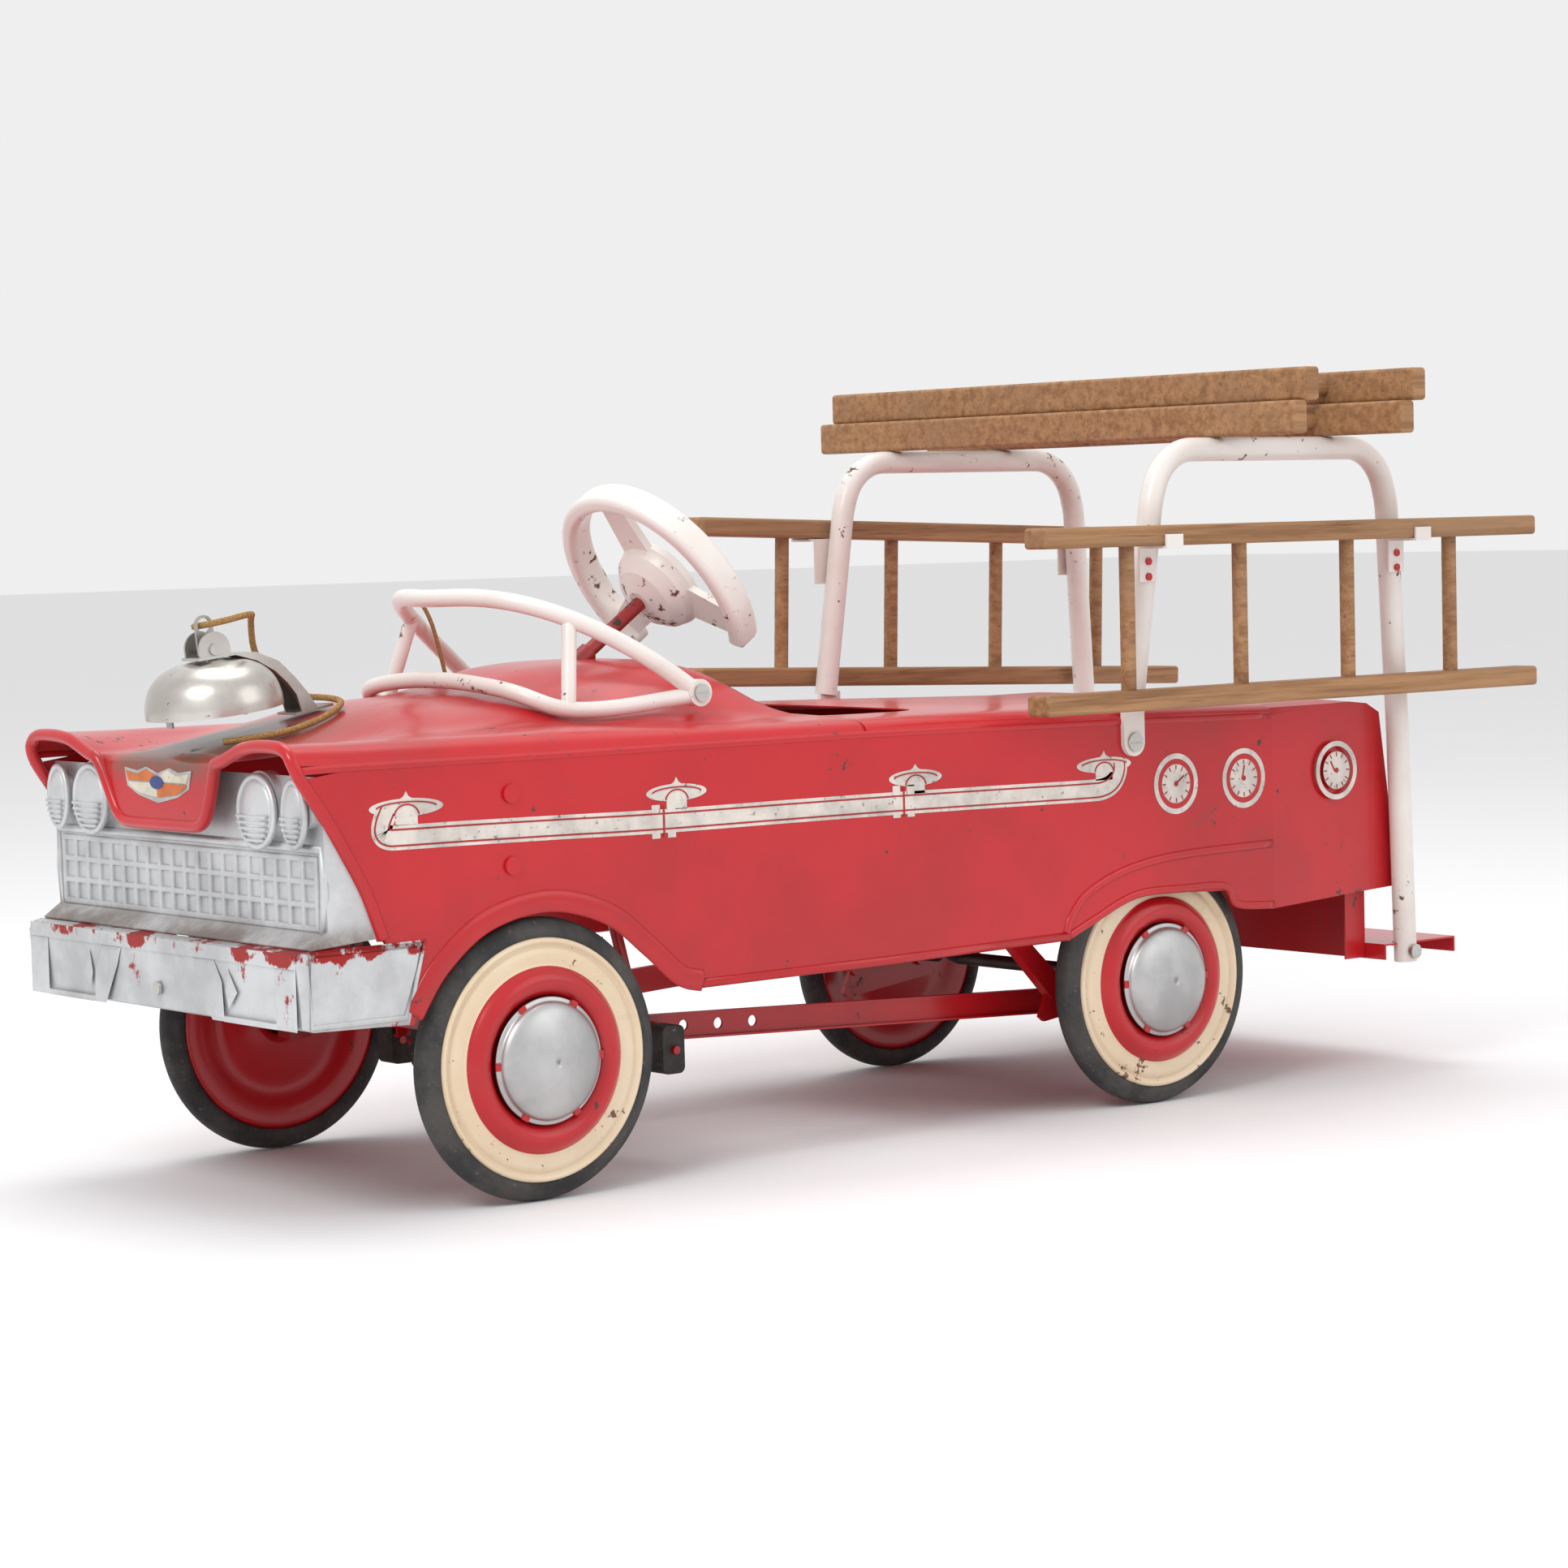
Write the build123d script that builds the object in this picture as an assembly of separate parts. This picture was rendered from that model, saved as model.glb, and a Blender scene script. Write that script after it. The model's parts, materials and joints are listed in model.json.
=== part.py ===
"""Pedal car with a bell, two tube racks and four wooden ladders.

Millimetres. The car points along -Y, its driver's left is +X, and it stands on z = 0.
Lengths along the car are measured from the front axle, and export moves every piece by
Y_SHIFT, so that the origin lies under the middle of the car's box.
"""
import os
from math import acos, atan2, cos, degrees, hypot, radians, sin, tan

from build123d import *

# ---------------------------------------------------------------- driving dimensions
WHEEL_R = 100.0
WHEELBASE = 610.0
AXLE_Z = WHEEL_R
FRONT_FACE_X = 183.5          # outer face of the front tyres
REAR_FACE_X = 171.0           # outer face of the rear tyres
TYRE_W = 21.0
WALL_R = 85.0                 # cream wall of the wheel disc
CAP_R = 45.0
STUB_R = 6.0                  # front stub axles
AXLE_R = 5.5                  # rear crank axle
RUN = 0.05                    # running clearance, radial

BODY_X = 185.0                # outer face of the side panels
SHEET = 1.2
SILL_Z = 138.0
TAIL_SEAM_Y = 727.0
TAIL_END_Y = 880.0
TAIL_HALF = 178.5             # the tail narrows between the legs of the hoops
FRONT_Y = -197.0              # lips of the fenders
OPEN_HALF = 130.0             # cockpit opening
OPEN_FRONT_Y = 194.0
OPEN_SIDE_Y = 272.0
OPEN_REAR_Y = 405.0
OPEN_CORNER = 30.0
SEAT_Z = 205.0

BUMPER_Y = -200.0
BUMPER_TOP = 191.0
BUMPER_BOTTOM = 141.0
GRILLE_Y = -172.0

COLUMN_TILT = 54.8            # steering axis from the vertical
COLUMN_AT = (226.7, 408.5)    # a point (y, z) on the steering axis
COLUMN_R = 5.5
RIM_R = 83.0                  # steering wheel, middle of its rim
COLUMN_END = 296.0            # length of the column below COLUMN_AT
ARM_ALONG = 260.0             # where the drop arm leaves the column
DROP_ARM = 80.0
STEER_ARM = 64.0
TIE_Z = 182.0
FORK_GAP = 6.2                # half the gap of the tie rod's fork
RIM_SWEEP = 250.0
KINGPIN_X = 146.0
KINGPIN_R = 4.0

THROW = 54.0                  # crank throw
CRANK_ANGLE = -26.0           # left throw from +Y towards +Z
STRAP_X = 85.0
STRAP_LEN = 495.0
HANGER_Y = 116.0
HANGER_Z = 285.0
ARM_LEN = 193.0               # pedal arm, from its hinge to the strap
ARM_X = 74.0
HANGER_R = 4.0
PEDAL_DROP = 15.0             # pedal axle below the strap's pivot
PEDAL_X = (48.0, 112.0)       # ends of a pedal's block
BEARING_X = 122.0             # rear axle hangers

HOOP_X = 189.0
HOOP_R = 9.5
HOOP_TOP_Z = 520.0
HOOP_END_Z = 92.0

RAIL_THICK = 16.0             # ladder rail, in the ladder's plane
RAIL_DEEP = 26.0              # ladder rail, across the ladder's plane
RAIL_LEN = 560.0
RAIL_PITCH = 127.0
RUNG_R = 6.0
RUNG_STEP = 123.0
REST_GAP = 0.1                # under a ladder that rests on something
SIDE_GAP = 0.5                # beside a hung ladder, in its hooks
SIDE_LADDER_X = 215.5
LEFT_LADDER_Y = 724.0
RIGHT_LADDER_Y = 730.0
RIGHT_LADDER_TILT = -2.2      # the right ladder hangs with its front end higher
RIGHT_LADDER_RISE = 5.0
HOOK_FRONT_Y = 577.0
HOOK_REAR_Y = 861.0
HOOK_TOP_Z = 445.0
HOOK_STRAP = 2.0
HOOK_WIDTH = 18.0
TOP_LADDER_Y = (721.0, 735.0)
TOP_LADDER_TURN = 1.8

BELL_AT = (0.0, -146.0, 347.0)
BELL_TILT = 6.7
BELL_R = 49.0
BELL_H = 37.0
BELL_SHEET = 1.6
BELL_PIVOT = 44.5             # lever's pin above the rim
LEVER_HOLE = 17.0             # cord hole above the pin

CORD_R = 2.3
TASSEL_R = 1.6

STEP_Y = (852.0, 938.0)
STEP_Z = 108.0
APRON_Y = 850.0
APRON_HALF = 168.0

REAR_MOST = RIGHT_LADDER_Y + RAIL_LEN / 2 * cos(radians(RIGHT_LADDER_TILT))
BOLT_PROUD = 1.5              # bolt head in front of the bumper
Y_SHIFT = -(REAR_MOST + BUMPER_Y - BOLT_PROUD) / 2

LOBE_X = 147.0                # outer face of the windshield's lobes
LOBE_AT = (175.0, 348.0)      # (y, z) of the lobes and their screws

LOW = (Align.CENTER, Align.CENTER, Align.MIN)
PARTS = {}


# ---------------------------------------------------------------- helpers
def keep(name, shape):
    """Store a finished piece under its node name."""
    PARTS[name] = shape


def rod(start, end, radius):
    """Round bar between two points."""
    start, end = Vector(*start), Vector(*end)
    plane = Plane(origin=start, z_dir=end - start)
    return plane * Cylinder(radius, (end - start).length, align=(Align.CENTER, Align.CENTER, Align.MIN))


def slab_x(outline, x_low, x_high):
    """A (y, z) outline of straight runs, as a plate between two values of x."""
    face = make_face(Polyline(*outline, close=True))
    return extrude(Plane.YZ.offset(x_low) * face, x_high - x_low)


def slab_z(outline, z_low, z_high):
    """An (x, y) outline as a plate between two values of z."""
    face = make_face(Polyline(*outline, close=True))
    return extrude(Plane.XY.offset(z_low) * face, z_high - z_low)


def block(x_low, x_high, y_low, y_high, z_low, z_high):
    """Box between limits."""
    size = (x_high - x_low, y_high - y_low, z_high - z_low)
    middle = ((x_low + x_high) / 2, (y_low + y_high) / 2, (z_low + z_high) / 2)
    return Pos(*middle) * Box(*size)


def pipe(path, radius):
    """Round bar swept along a path."""
    return sweep(Plane(origin=path @ 0, z_dir=path % 0) * Circle(radius), path=path)


def mirrored(shape):
    """The same piece on the car's other side."""
    return mirror(shape, Plane.YZ)


def spun_about_x(profile, y, z):
    """Revolve (x, radius) points about the line along X through (y, z)."""
    face = make_face(Polyline(*[(x, r) for x, r in profile], close=True))
    return Pos(0, y, z) * revolve(Plane.XY * face, Axis.X, 360)


def strip(points, thick):
    """A bent strap's side view: a polyline given thickness on one side."""
    inner = []
    for i, (a, b) in enumerate(points):
        before = points[max(i - 1, 0)]
        after = points[min(i + 1, len(points) - 1)]
        run = (after[0] - before[0], after[1] - before[1])
        size = hypot(*run)
        inner.append((a - run[1] / size * thick, b + run[0] / size * thick))
    return points + inner[::-1]


# ---------------------------------------------------------------- body panels
SECTION_X = (0, 40, 75, 90, 105, 120, 135, 150, 170, 180, 185)
HOOD_ROWS = {
    FRONT_Y: (314, 314, 315.5, 317, 323, 328, 330, 330.5, 330, 325, 317),
    -150.0: (326, 325, 320, 319, 321.5, 325, 328, 329.5, 328.5, 323, 315),
    -100.0: (336, 334, 327, 324.5, 324.5, 325.5, 328, 329.5, 328, 322.5, 314.5),
    -40.0: (347, 345.5, 341, 338, 335, 332, 330, 329.5, 327.5, 322, 314.5),
    45.0: (353, 352, 348, 345.5, 341, 334, 331, 330, 327, 321.5, 314.5),
    100.0: (368, 366.5, 359, 352, 342, 331.5, 328, 328, 325.5, 321, 314),
    176.0: (371, 370, 366, 362, 355, 345, 334, 327, 324.5, 320.5, 314),
    235.0: (366, 365, 360, 355, 348, 338, 329, 325.5, 323.5, 320, 314),
    300.0: (335, 334, 331, 329, 327, 325.5, 324.5, 324, 323, 319.5, 313.5),
}
DECK_ROWS = {
    300.0: HOOD_ROWS[300.0],
    330.0: (327, 327, 326, 325.5, 325, 324.5, 324, 324, 322.5, 319.5, 313),
    OPEN_REAR_Y: (324.5, 324.5, 324.3, 324.2, 324.1, 324, 323.8, 323.5, 322, 319, 312.5),
    560.0: (321, 321, 321, 320.9, 320.8, 320.6, 320.3, 320, 319, 316, 310),
    TAIL_SEAM_Y: (316, 316, 316, 315.9, 315.8, 315.6, 315.4, 315, 314.3, 311.5, 306.5),
}
NOSE_HALF = 82.0
NOSE_Y = -187.0
SEAM = 0.1                    # between the pressings of the hood


def skin(rows):
    """Sheet whose upper face passes through rows of heights, mirrored about x = 0."""
    grid = []
    for y, heights in rows.items():
        half = list(zip(SECTION_X, heights))
        both = [(-x, z) for x, z in half[:0:-1]] + half
        grid.append([Vector(x, NOSE_Y if y == FRONT_Y and abs(x) < NOSE_HALF else y, z) for x, z in both])
    face = Face.make_surface_from_array_of_points(grid, tol=0.3)
    return extrude(face, SHEET, dir=(0, 0, -1))


def opening():
    """Cockpit opening, seen from above, as a tall cutter."""
    front = OPEN_SIDE_Y - OPEN_FRONT_Y
    bow = ThreePointArc(
        (-OPEN_HALF, OPEN_SIDE_Y),
        (0, OPEN_SIDE_Y - front),
        (OPEN_HALF, OPEN_SIDE_Y),
    )
    c = OPEN_CORNER
    back = FilletPolyline(
        (OPEN_HALF, OPEN_SIDE_Y),
        (OPEN_HALF, OPEN_REAR_Y),
        (-OPEN_HALF, OPEN_REAR_Y),
        (-OPEN_HALF, OPEN_SIDE_Y),
        radius=c,
    )
    return extrude(Plane.XY.offset(HANGER_Z) * make_face([bow, back]), 150)


def steering_point(along, out=0.0):
    """Point on the steering axis, or out from it towards the driver's lap."""
    t = radians(COLUMN_TILT)
    y = COLUMN_AT[0] + along * sin(t) + out * cos(t)
    return (0, y, COLUMN_AT[1] + along * cos(t) - out * sin(t))


BUSH_R = 7.5


def make_top():
    """Hood with its beak and fender lips, and the deck round the cockpit."""
    hood = skin(HOOD_ROWS) - opening()
    hood -= rod(steering_point(-90), steering_point(-30), BUSH_R)
    beak = [(-80, 312.5), (-60, 273), (-50, 269.5), (50, 269.5), (60, 273), (80, 312.5)]
    front = Plane(origin=(0, NOSE_Y - SEAM, 0), x_dir=(1, 0, 0), z_dir=(0, -1, 0))
    pieces = [hood, extrude(front * make_face(Polyline(*beak, close=True)), SHEET)]
    edge = list(zip(SECTION_X, HOOD_ROWS[FRONT_Y]))[3:]
    below = [(182, 306), (172, 317), (150, 321), (125, 319.5), (105, 309), (98, 300)]
    lip_plane = Plane(origin=(0, FRONT_Y - SEAM, 0), x_dir=(1, 0, 0), z_dir=(0, -1, 0))
    lip = extrude(lip_plane * make_face(Polyline(*edge, *below, close=True)), SHEET)
    keep("hood_panel", Compound(pieces + [lip, mirrored(lip)]))
    keep("deck_panel", skin(DECK_ROWS) - opening())


def side_outline():
    """Side panel seen from the side: front edge, two wheel arches and the sill."""
    top = 304.5
    front = Polyline((TAIL_SEAM_Y, top), (447, 308.5), (100, 311.5), (-150, 312.3), (FRONT_Y + 1.5, 306.5), (-174, 283),
                     (-144, 229), (-129, 197), (-129, 136), (-108, 135))
    arch = Spline((-108, 135), (-84, 169), (-45, 196.5), (8, 206), (58, 193), (93, 167), (120, 144), (140, SILL_Z))
    sill = Polyline((140, SILL_Z), (500, 141.5))
    rear = Spline((500, 141.5), (524, 151), (572, 168), (626, 169), (672, 167))
    end = Polyline((672, 167), (684, 152), (TAIL_SEAM_Y, 148), (TAIL_SEAM_Y, top))
    return make_face([front, arch, sill, rear, end])


def make_sides():
    """The two side panels."""
    left = extrude(Plane.YZ.offset(BODY_X - SHEET) * side_outline(), SHEET)
    keep("left_side_panel", left)
    keep("right_side_panel", mirrored(left))


def make_tail():
    """Tail cap: top, sides and rear in one sheet, open in front and below."""
    def shell(inset, front, bottom):
        side = [(front, 320 - inset), (800 - inset, 314 - inset), (846 - inset, 309 - inset), (861 - inset, 301 - inset),
                (875 - inset, 203), (TAIL_END_Y - inset, bottom + 7), (front, bottom)]
        half, narrow = BODY_X - inset, TAIL_HALF - inset
        plan = [(half, front), (narrow, 850), (narrow, 900), (-narrow, 900), (-narrow, 850), (-half, front)]
        right = [(half, bottom), (half, 305 - inset), (half - 4, 311 - inset), (half - 14, 314 - inset), (0, 315.8 - inset)]
        section = right + [(-x, z) for x, z in right[-2::-1]]
        across = extrude(Plane.XZ.offset(-TAIL_END_Y - 20) * make_face(Polyline(*section, close=True)), 300)
        return slab_x(side, -half, half) & slab_z(plan, 0, 400) & across

    keep("tail_cap", shell(0, TAIL_SEAM_Y, 148) - shell(SHEET, TAIL_SEAM_Y - 10, 100))


def make_front():
    """Grille panel with its lamps and shelf, and the wrap-round bumper."""
    half = BODY_X - SHEET - 0.2
    front = strip([(GRILLE_Y - 2, 308), (GRILLE_Y, 204), (GRILLE_Y - 16, BUMPER_TOP + 1.5)], -SHEET)
    panel = slab_x(front, -half, half)
    for side in (1, -1):
        edge = [(GRILLE_Y, 204), (GRILLE_Y - 2, 280), (-160, 262), (-126, 197), (GRILLE_Y - 16, BUMPER_TOP + 1.5)]
        x = side * (half - SHEET / 2)
        panel += slab_x(edge, x - SHEET / 2, x + SHEET / 2)
        for lamp_x in (115, 169):
            at = (side * lamp_x, GRILLE_Y, 286.7)
            r = 24.0 if lamp_x == 115 else 13.5
            panel += rod((at[0], at[1], at[2]), (at[0], at[1] - 9, at[2]), r)
    keep("grille_panel", panel)
    outside = BODY_X + 0.8
    top, low = BUMPER_TOP, BUMPER_BOTTOM
    face = [(GRILLE_Y - 16, top + 1), (BUMPER_Y + 4, top), (BUMPER_Y, top - 6), (BUMPER_Y + 3, low),
            (BUMPER_Y + 12, low - 3), (BUMPER_Y + 12, low - 3 + SHEET), (BUMPER_Y + 3 + SHEET, low + SHEET),
            (BUMPER_Y + SHEET, top - 6), (BUMPER_Y + 4, top - SHEET), (GRILLE_Y - 16, top + 1 - SHEET)]
    bumper = slab_x(face, -outside, outside)
    for side in (1, -1):
        end = [(BUMPER_Y, top - 6), (BUMPER_Y + 3, low), (BUMPER_Y + 12, low - 3), (-112, 136), (-96, 193),
               (GRILLE_Y - 16, top + 1), (BUMPER_Y + 4, top)]
        x = side * (BODY_X + 0.4)
        bumper += slab_x(end, x - 0.4, x + 0.4)
    keep("front_bumper", bumper)


def make_inside():
    """Seat pan, rear apron and step."""
    half = BODY_X - SHEET - 0.3
    front = slab_x([(395, SEAT_Z), (500, SEAT_Z), (500, SEAT_Z - 2), (395, SEAT_Z - 2)], -half, half)
    narrow = BEARING_X + 16
    rear = [(500, SEAT_Z), (630, SEAT_Z), (660, SEAT_Z + 70), (662, SEAT_Z + 70), (632, SEAT_Z - 2), (500, SEAT_Z - 2)]
    keep("seat_pan", front + slab_x(rear, -narrow, narrow))
    apron = block(-APRON_HALF, APRON_HALF, APRON_Y, APRON_Y + 1.5, 96, 200)
    for side in (1, -1):
        x = side * APRON_HALF
        apron += block(min(x, x - side * 1.5), max(x, x - side * 1.5), APRON_Y - 22, APRON_Y, 96, 200)
    keep("rear_apron", apron)
    half = BODY_X + 5
    tread = block(-half, half, STEP_Y[0], STEP_Y[1], STEP_Z - 1.5, STEP_Z)
    for y in (STEP_Y[0], STEP_Y[1] - 1.5):
        tread += block(-half, half, y, y + 1.5, STEP_Z - 13, STEP_Z)
    legs = rod((HOOP_X, 877, STEP_Z + 5), (HOOP_X, 877, STEP_Z - 20), HOOP_R + 1)
    keep("rear_step", tread - legs - mirrored(legs))


# ---------------------------------------------------------------- windshield
def make_windshield():
    """Cast wrap-round frame: top bar, bottom bar, a strut and a lobe on each side."""
    def bar(half, radius):
        points = [(-x, y, z) for x, y, z in half[:0:-1]] + half
        return pipe(Spline(*points), radius)

    top = bar([(0, 37, 421), (50, 48, 421), (90, 75, 412), (122, 119, 388), (141, 170, 352)], 6.5)
    low = bar([(0, 39, 361), (70, 41.5, 357), (103, 50, 350), (117, 66, 342), (122, 90, 339),
               (130, 128, 341), (141, 170, 346)], 6.0)
    frame = top + low
    for side in (1, -1):
        frame += rod((side * 119, 76, 341), (side * 103, 90, 404), 5.5)
        frame += rod((side * 135, LOBE_AT[0], LOBE_AT[1]), (side * LOBE_X, LOBE_AT[0], LOBE_AT[1]), 10)
    keep("windshield_frame", frame)


# ---------------------------------------------------------------- bell
def bell_place():
    """Frame of the bell: origin at the middle of its rim."""
    return Location(BELL_AT, (BELL_TILT, 0, 0))


def make_bell():
    """Dome, bracket, pin, lever with its striker."""
    def cap(radius, height):
        profile = []
        for i in range(9):
            a = radians(90 * i / 8)
            profile.append((radius * sin(a) ** 0.75, height * cos(a) ** 0.8))
        face = make_face([Spline(*profile[1:], tangents=[(1, -0.4), (0, -1)]),
                          Polyline((radius, 0), (0, 0), (0, height), profile[1])])
        return revolve(Plane.XZ * face, Axis.Z, 360)

    dome = cap(BELL_R, BELL_H) - cap(BELL_R - BELL_SHEET, BELL_H - BELL_SHEET)
    dome -= Cylinder(9, 3 * BELL_H)
    keep("bell_dome", bell_place() * dome)

    base = BELL_H + 1
    outer = [(-14, base + 2), (15, base + 2), (33, 37.5), (50, 28.5), (61.6, 15.2), (70.9, 1.9), (77.5, -10.4)]
    inner = [(64, -10.9), (61.5, 2), (55, 12), (46, 22), (32.3, 31.5), (16, base), (-14, base)]
    band = slab_x(outer + [(75.5, -10.5), (69.2, 1), (60.2, 13.8), (49, 26.5), (32.5, 35.5), (15, base), (-14, base)], -12, 12)
    bracket = band - block(-8, 8, -9, 9, 0, 60)
    foot = [(58, -12.4), (90, -10.6), (90, -8.8), (58, -10.6)]
    bracket += slab_x(foot, -12.5, 12.5)
    for side in (1, -1):
        bracket += slab_x(outer + inner, *sorted((side * 10.6, side * 12)))
        x = side * 10
        ear = block(x - 0.9, x + 0.9, -12, 13, base, BELL_PIVOT)
        ear += rod((x - 0.9, 0.5, BELL_PIVOT), (x + 0.9, 0.5, BELL_PIVOT), 12.5)
        bracket += ear
    bracket -= rod((-20, 0, BELL_PIVOT), (20, 0, BELL_PIVOT), 2.5)
    bracket -= block(-13, 13, -14, 14, 20, base)
    keep("bell_bracket", bell_place() * bracket)
    pin = rod((-12.6, 0, BELL_PIVOT), (12.6, 0, BELL_PIVOT), 2.5)
    for side in (1, -1):
        pin += rod((side * 10.95, 0, BELL_PIVOT), (side * 12.6, 0, BELL_PIVOT), 4.2)
    keep("bell_pin", bell_place() * pin)

    top = BELL_PIVOT + LEVER_HOLE
    lever = block(-1, 1, -7.2, 7.2, BELL_PIVOT - 4, top)
    lever += rod((-1, 0, top), (1, 0, top), 7.2)
    lever += rod((0, 0, 4), (0, 0, BELL_PIVOT - 3.5), 2.5)
    lever += block(-4, 4, -38, 24, 2, 4)
    for y in (-38, 22.5):
        lever += block(-4, 4, y, y + 1.5, -6, 4)
    lever -= rod((-3, 0, top), (3, 0, top), 5.2)
    lever -= rod((-9, 0, BELL_PIVOT), (9, 0, BELL_PIVOT), 2.5 + RUN)
    keep("bell_lever", bell_place() * lever)


# ---------------------------------------------------------------- cords
def route_radii(points):
    """Largest tangent arcs: 0.45 of the shorter run over the tangent of half the turn."""
    vectors = [Vector(*p) for p in points]
    radii = []
    for a, b, c in zip(vectors, vectors[1:], vectors[2:]):
        turn = radians((b - a).get_angle(c - b))
        radii.append(0.45 * min((b - a).length, (c - b).length) / tan(turn / 2))
    return radii


def cord(name, points, radius):
    """Limp cord as a tube of straight runs and tangent arcs."""
    radii = route_radii(points)
    path = FilletPolyline(*points, radius=radii)
    keep(name, pipe(path, radius))
    print(name, "length", round(path.length, 1), "radii", [round(r, 1) for r in radii])


# ---------------------------------------------------------------- racks and ladders
def make_hoops():
    """Tube hoop on each side: a flattened foot in front, a bend over, a long leg to the step."""
    path = FilletPolyline(
        (HOOP_X, 568, 322), (HOOP_X, 592, 478), (HOOP_X, 606, HOOP_TOP_Z),
        (HOOP_X, 850, HOOP_TOP_Z), (HOOP_X, 862, 474), (HOOP_X, 872, 285), (HOOP_X, 878, HOOP_END_Z),
        radius=[60, 44, 44, 60, 200],
    )
    hoop = pipe(path, HOOP_R)
    foot = block(BODY_X + 0.1, BODY_X + 4.1, 559, 581, 290, 325)
    foot += rod((BODY_X + 0.1, 570, 291.7), (BODY_X + 4.1, 570, 291.7), 11)
    keep("left_hoop", hoop + foot)
    keep("right_hoop", mirrored(hoop + foot))


def ladder(width_axis):
    """Rails and rungs of one ladder, its length along Y, lying in YZ ('z') or XY ('x')."""
    rails, rungs = [], []
    for side in (1, -1):
        rail = Box(RAIL_DEEP, RAIL_LEN, RAIL_THICK)
        rail = fillet(rail.edges(), 3.0)
        rails.append(Pos(0, 0, side * RAIL_PITCH / 2) * rail)
    for i in range(4):
        y = (i - 1.5) * RUNG_STEP
        reach = RAIL_PITCH / 2 - RAIL_THICK / 2
        rungs.append(rod((0, y, -reach), (0, y, reach), RUNG_R))
    shapes = [Compound(rails), Compound(rungs)]
    if width_axis == "x":
        shapes = [Rot(0, 90, 0) * s for s in shapes]
    return shapes


def hook(y, tip):
    """One ladder hook: plate on the hoop, arm under the rail, and a lip outside it."""
    plate = HOOP_X + HOOP_R + 0.1
    out = SIDE_LADDER_X + RAIL_DEEP / 2 + SIDE_GAP
    foot = HOOK_TOP_Z - 28
    outline = [(plate, foot), (plate, tip), (out, tip), (out, tip + 9), (out + HOOK_STRAP, tip + 9),
               (out + HOOK_STRAP, tip - HOOK_STRAP), (plate + HOOK_STRAP, tip - HOOK_STRAP), (plate + HOOK_STRAP, foot)]
    face = make_face(Polyline(*outline, close=True))
    return extrude(Plane.XZ.offset(-y - HOOK_WIDTH / 2) * face, HOOK_WIDTH)


def make_ladders():
    """Two ladders hung at the sides on hooks, and two stacked across the hoops."""
    rail_z = HOOK_TOP_Z + REST_GAP + RAIL_THICK / 2
    for kind, shape in zip(("rails", "rungs"), ladder("z")):
        keep(f"left_ladder_{kind}", Pos(SIDE_LADDER_X, LEFT_LADDER_Y, rail_z - RAIL_PITCH / 2) * shape)
        turn = Location((-SIDE_LADDER_X, RIGHT_LADDER_Y, rail_z + RIGHT_LADDER_RISE), (RIGHT_LADDER_TILT, 0, 0))
        keep(f"right_ladder_{kind}", turn * Pos(0, 0, -RAIL_PITCH / 2) * shape)
    slope = tan(radians(RIGHT_LADDER_TILT))
    hooks = []
    for y in (HOOK_FRONT_Y, HOOK_REAR_Y):
        hooks.append(hook(y, HOOK_TOP_Z))
        rise = RIGHT_LADDER_RISE + (y - RIGHT_LADDER_Y) * slope - HOOK_WIDTH / 2 * abs(slope)
        hooks.append(mirrored(hook(y, HOOK_TOP_Z + rise - 0.05)))
    keep("ladder_hooks", Compound(hooks))
    bottom = HOOP_TOP_Z + HOOP_R
    for name, level, y in zip(("lower_top_ladder", "upper_top_ladder"), (0, 1), TOP_LADDER_Y):
        z = bottom + REST_GAP + RAIL_DEEP / 2 + level * (RAIL_DEEP + REST_GAP)
        for kind, shape in zip(("rails", "rungs"), ladder("x")):
            keep(f"{name}_{kind}", Pos(0, y, z) * Rot(0, 0, 90 + TOP_LADDER_TURN) * shape)


# ---------------------------------------------------------------- steering
def across_steering(along):
    """Plane across the steering axis, its x along X."""
    t = radians(COLUMN_TILT)
    return Plane(origin=steering_point(along), x_dir=(1, 0, 0), z_dir=(0, sin(t), cos(t)))


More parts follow.
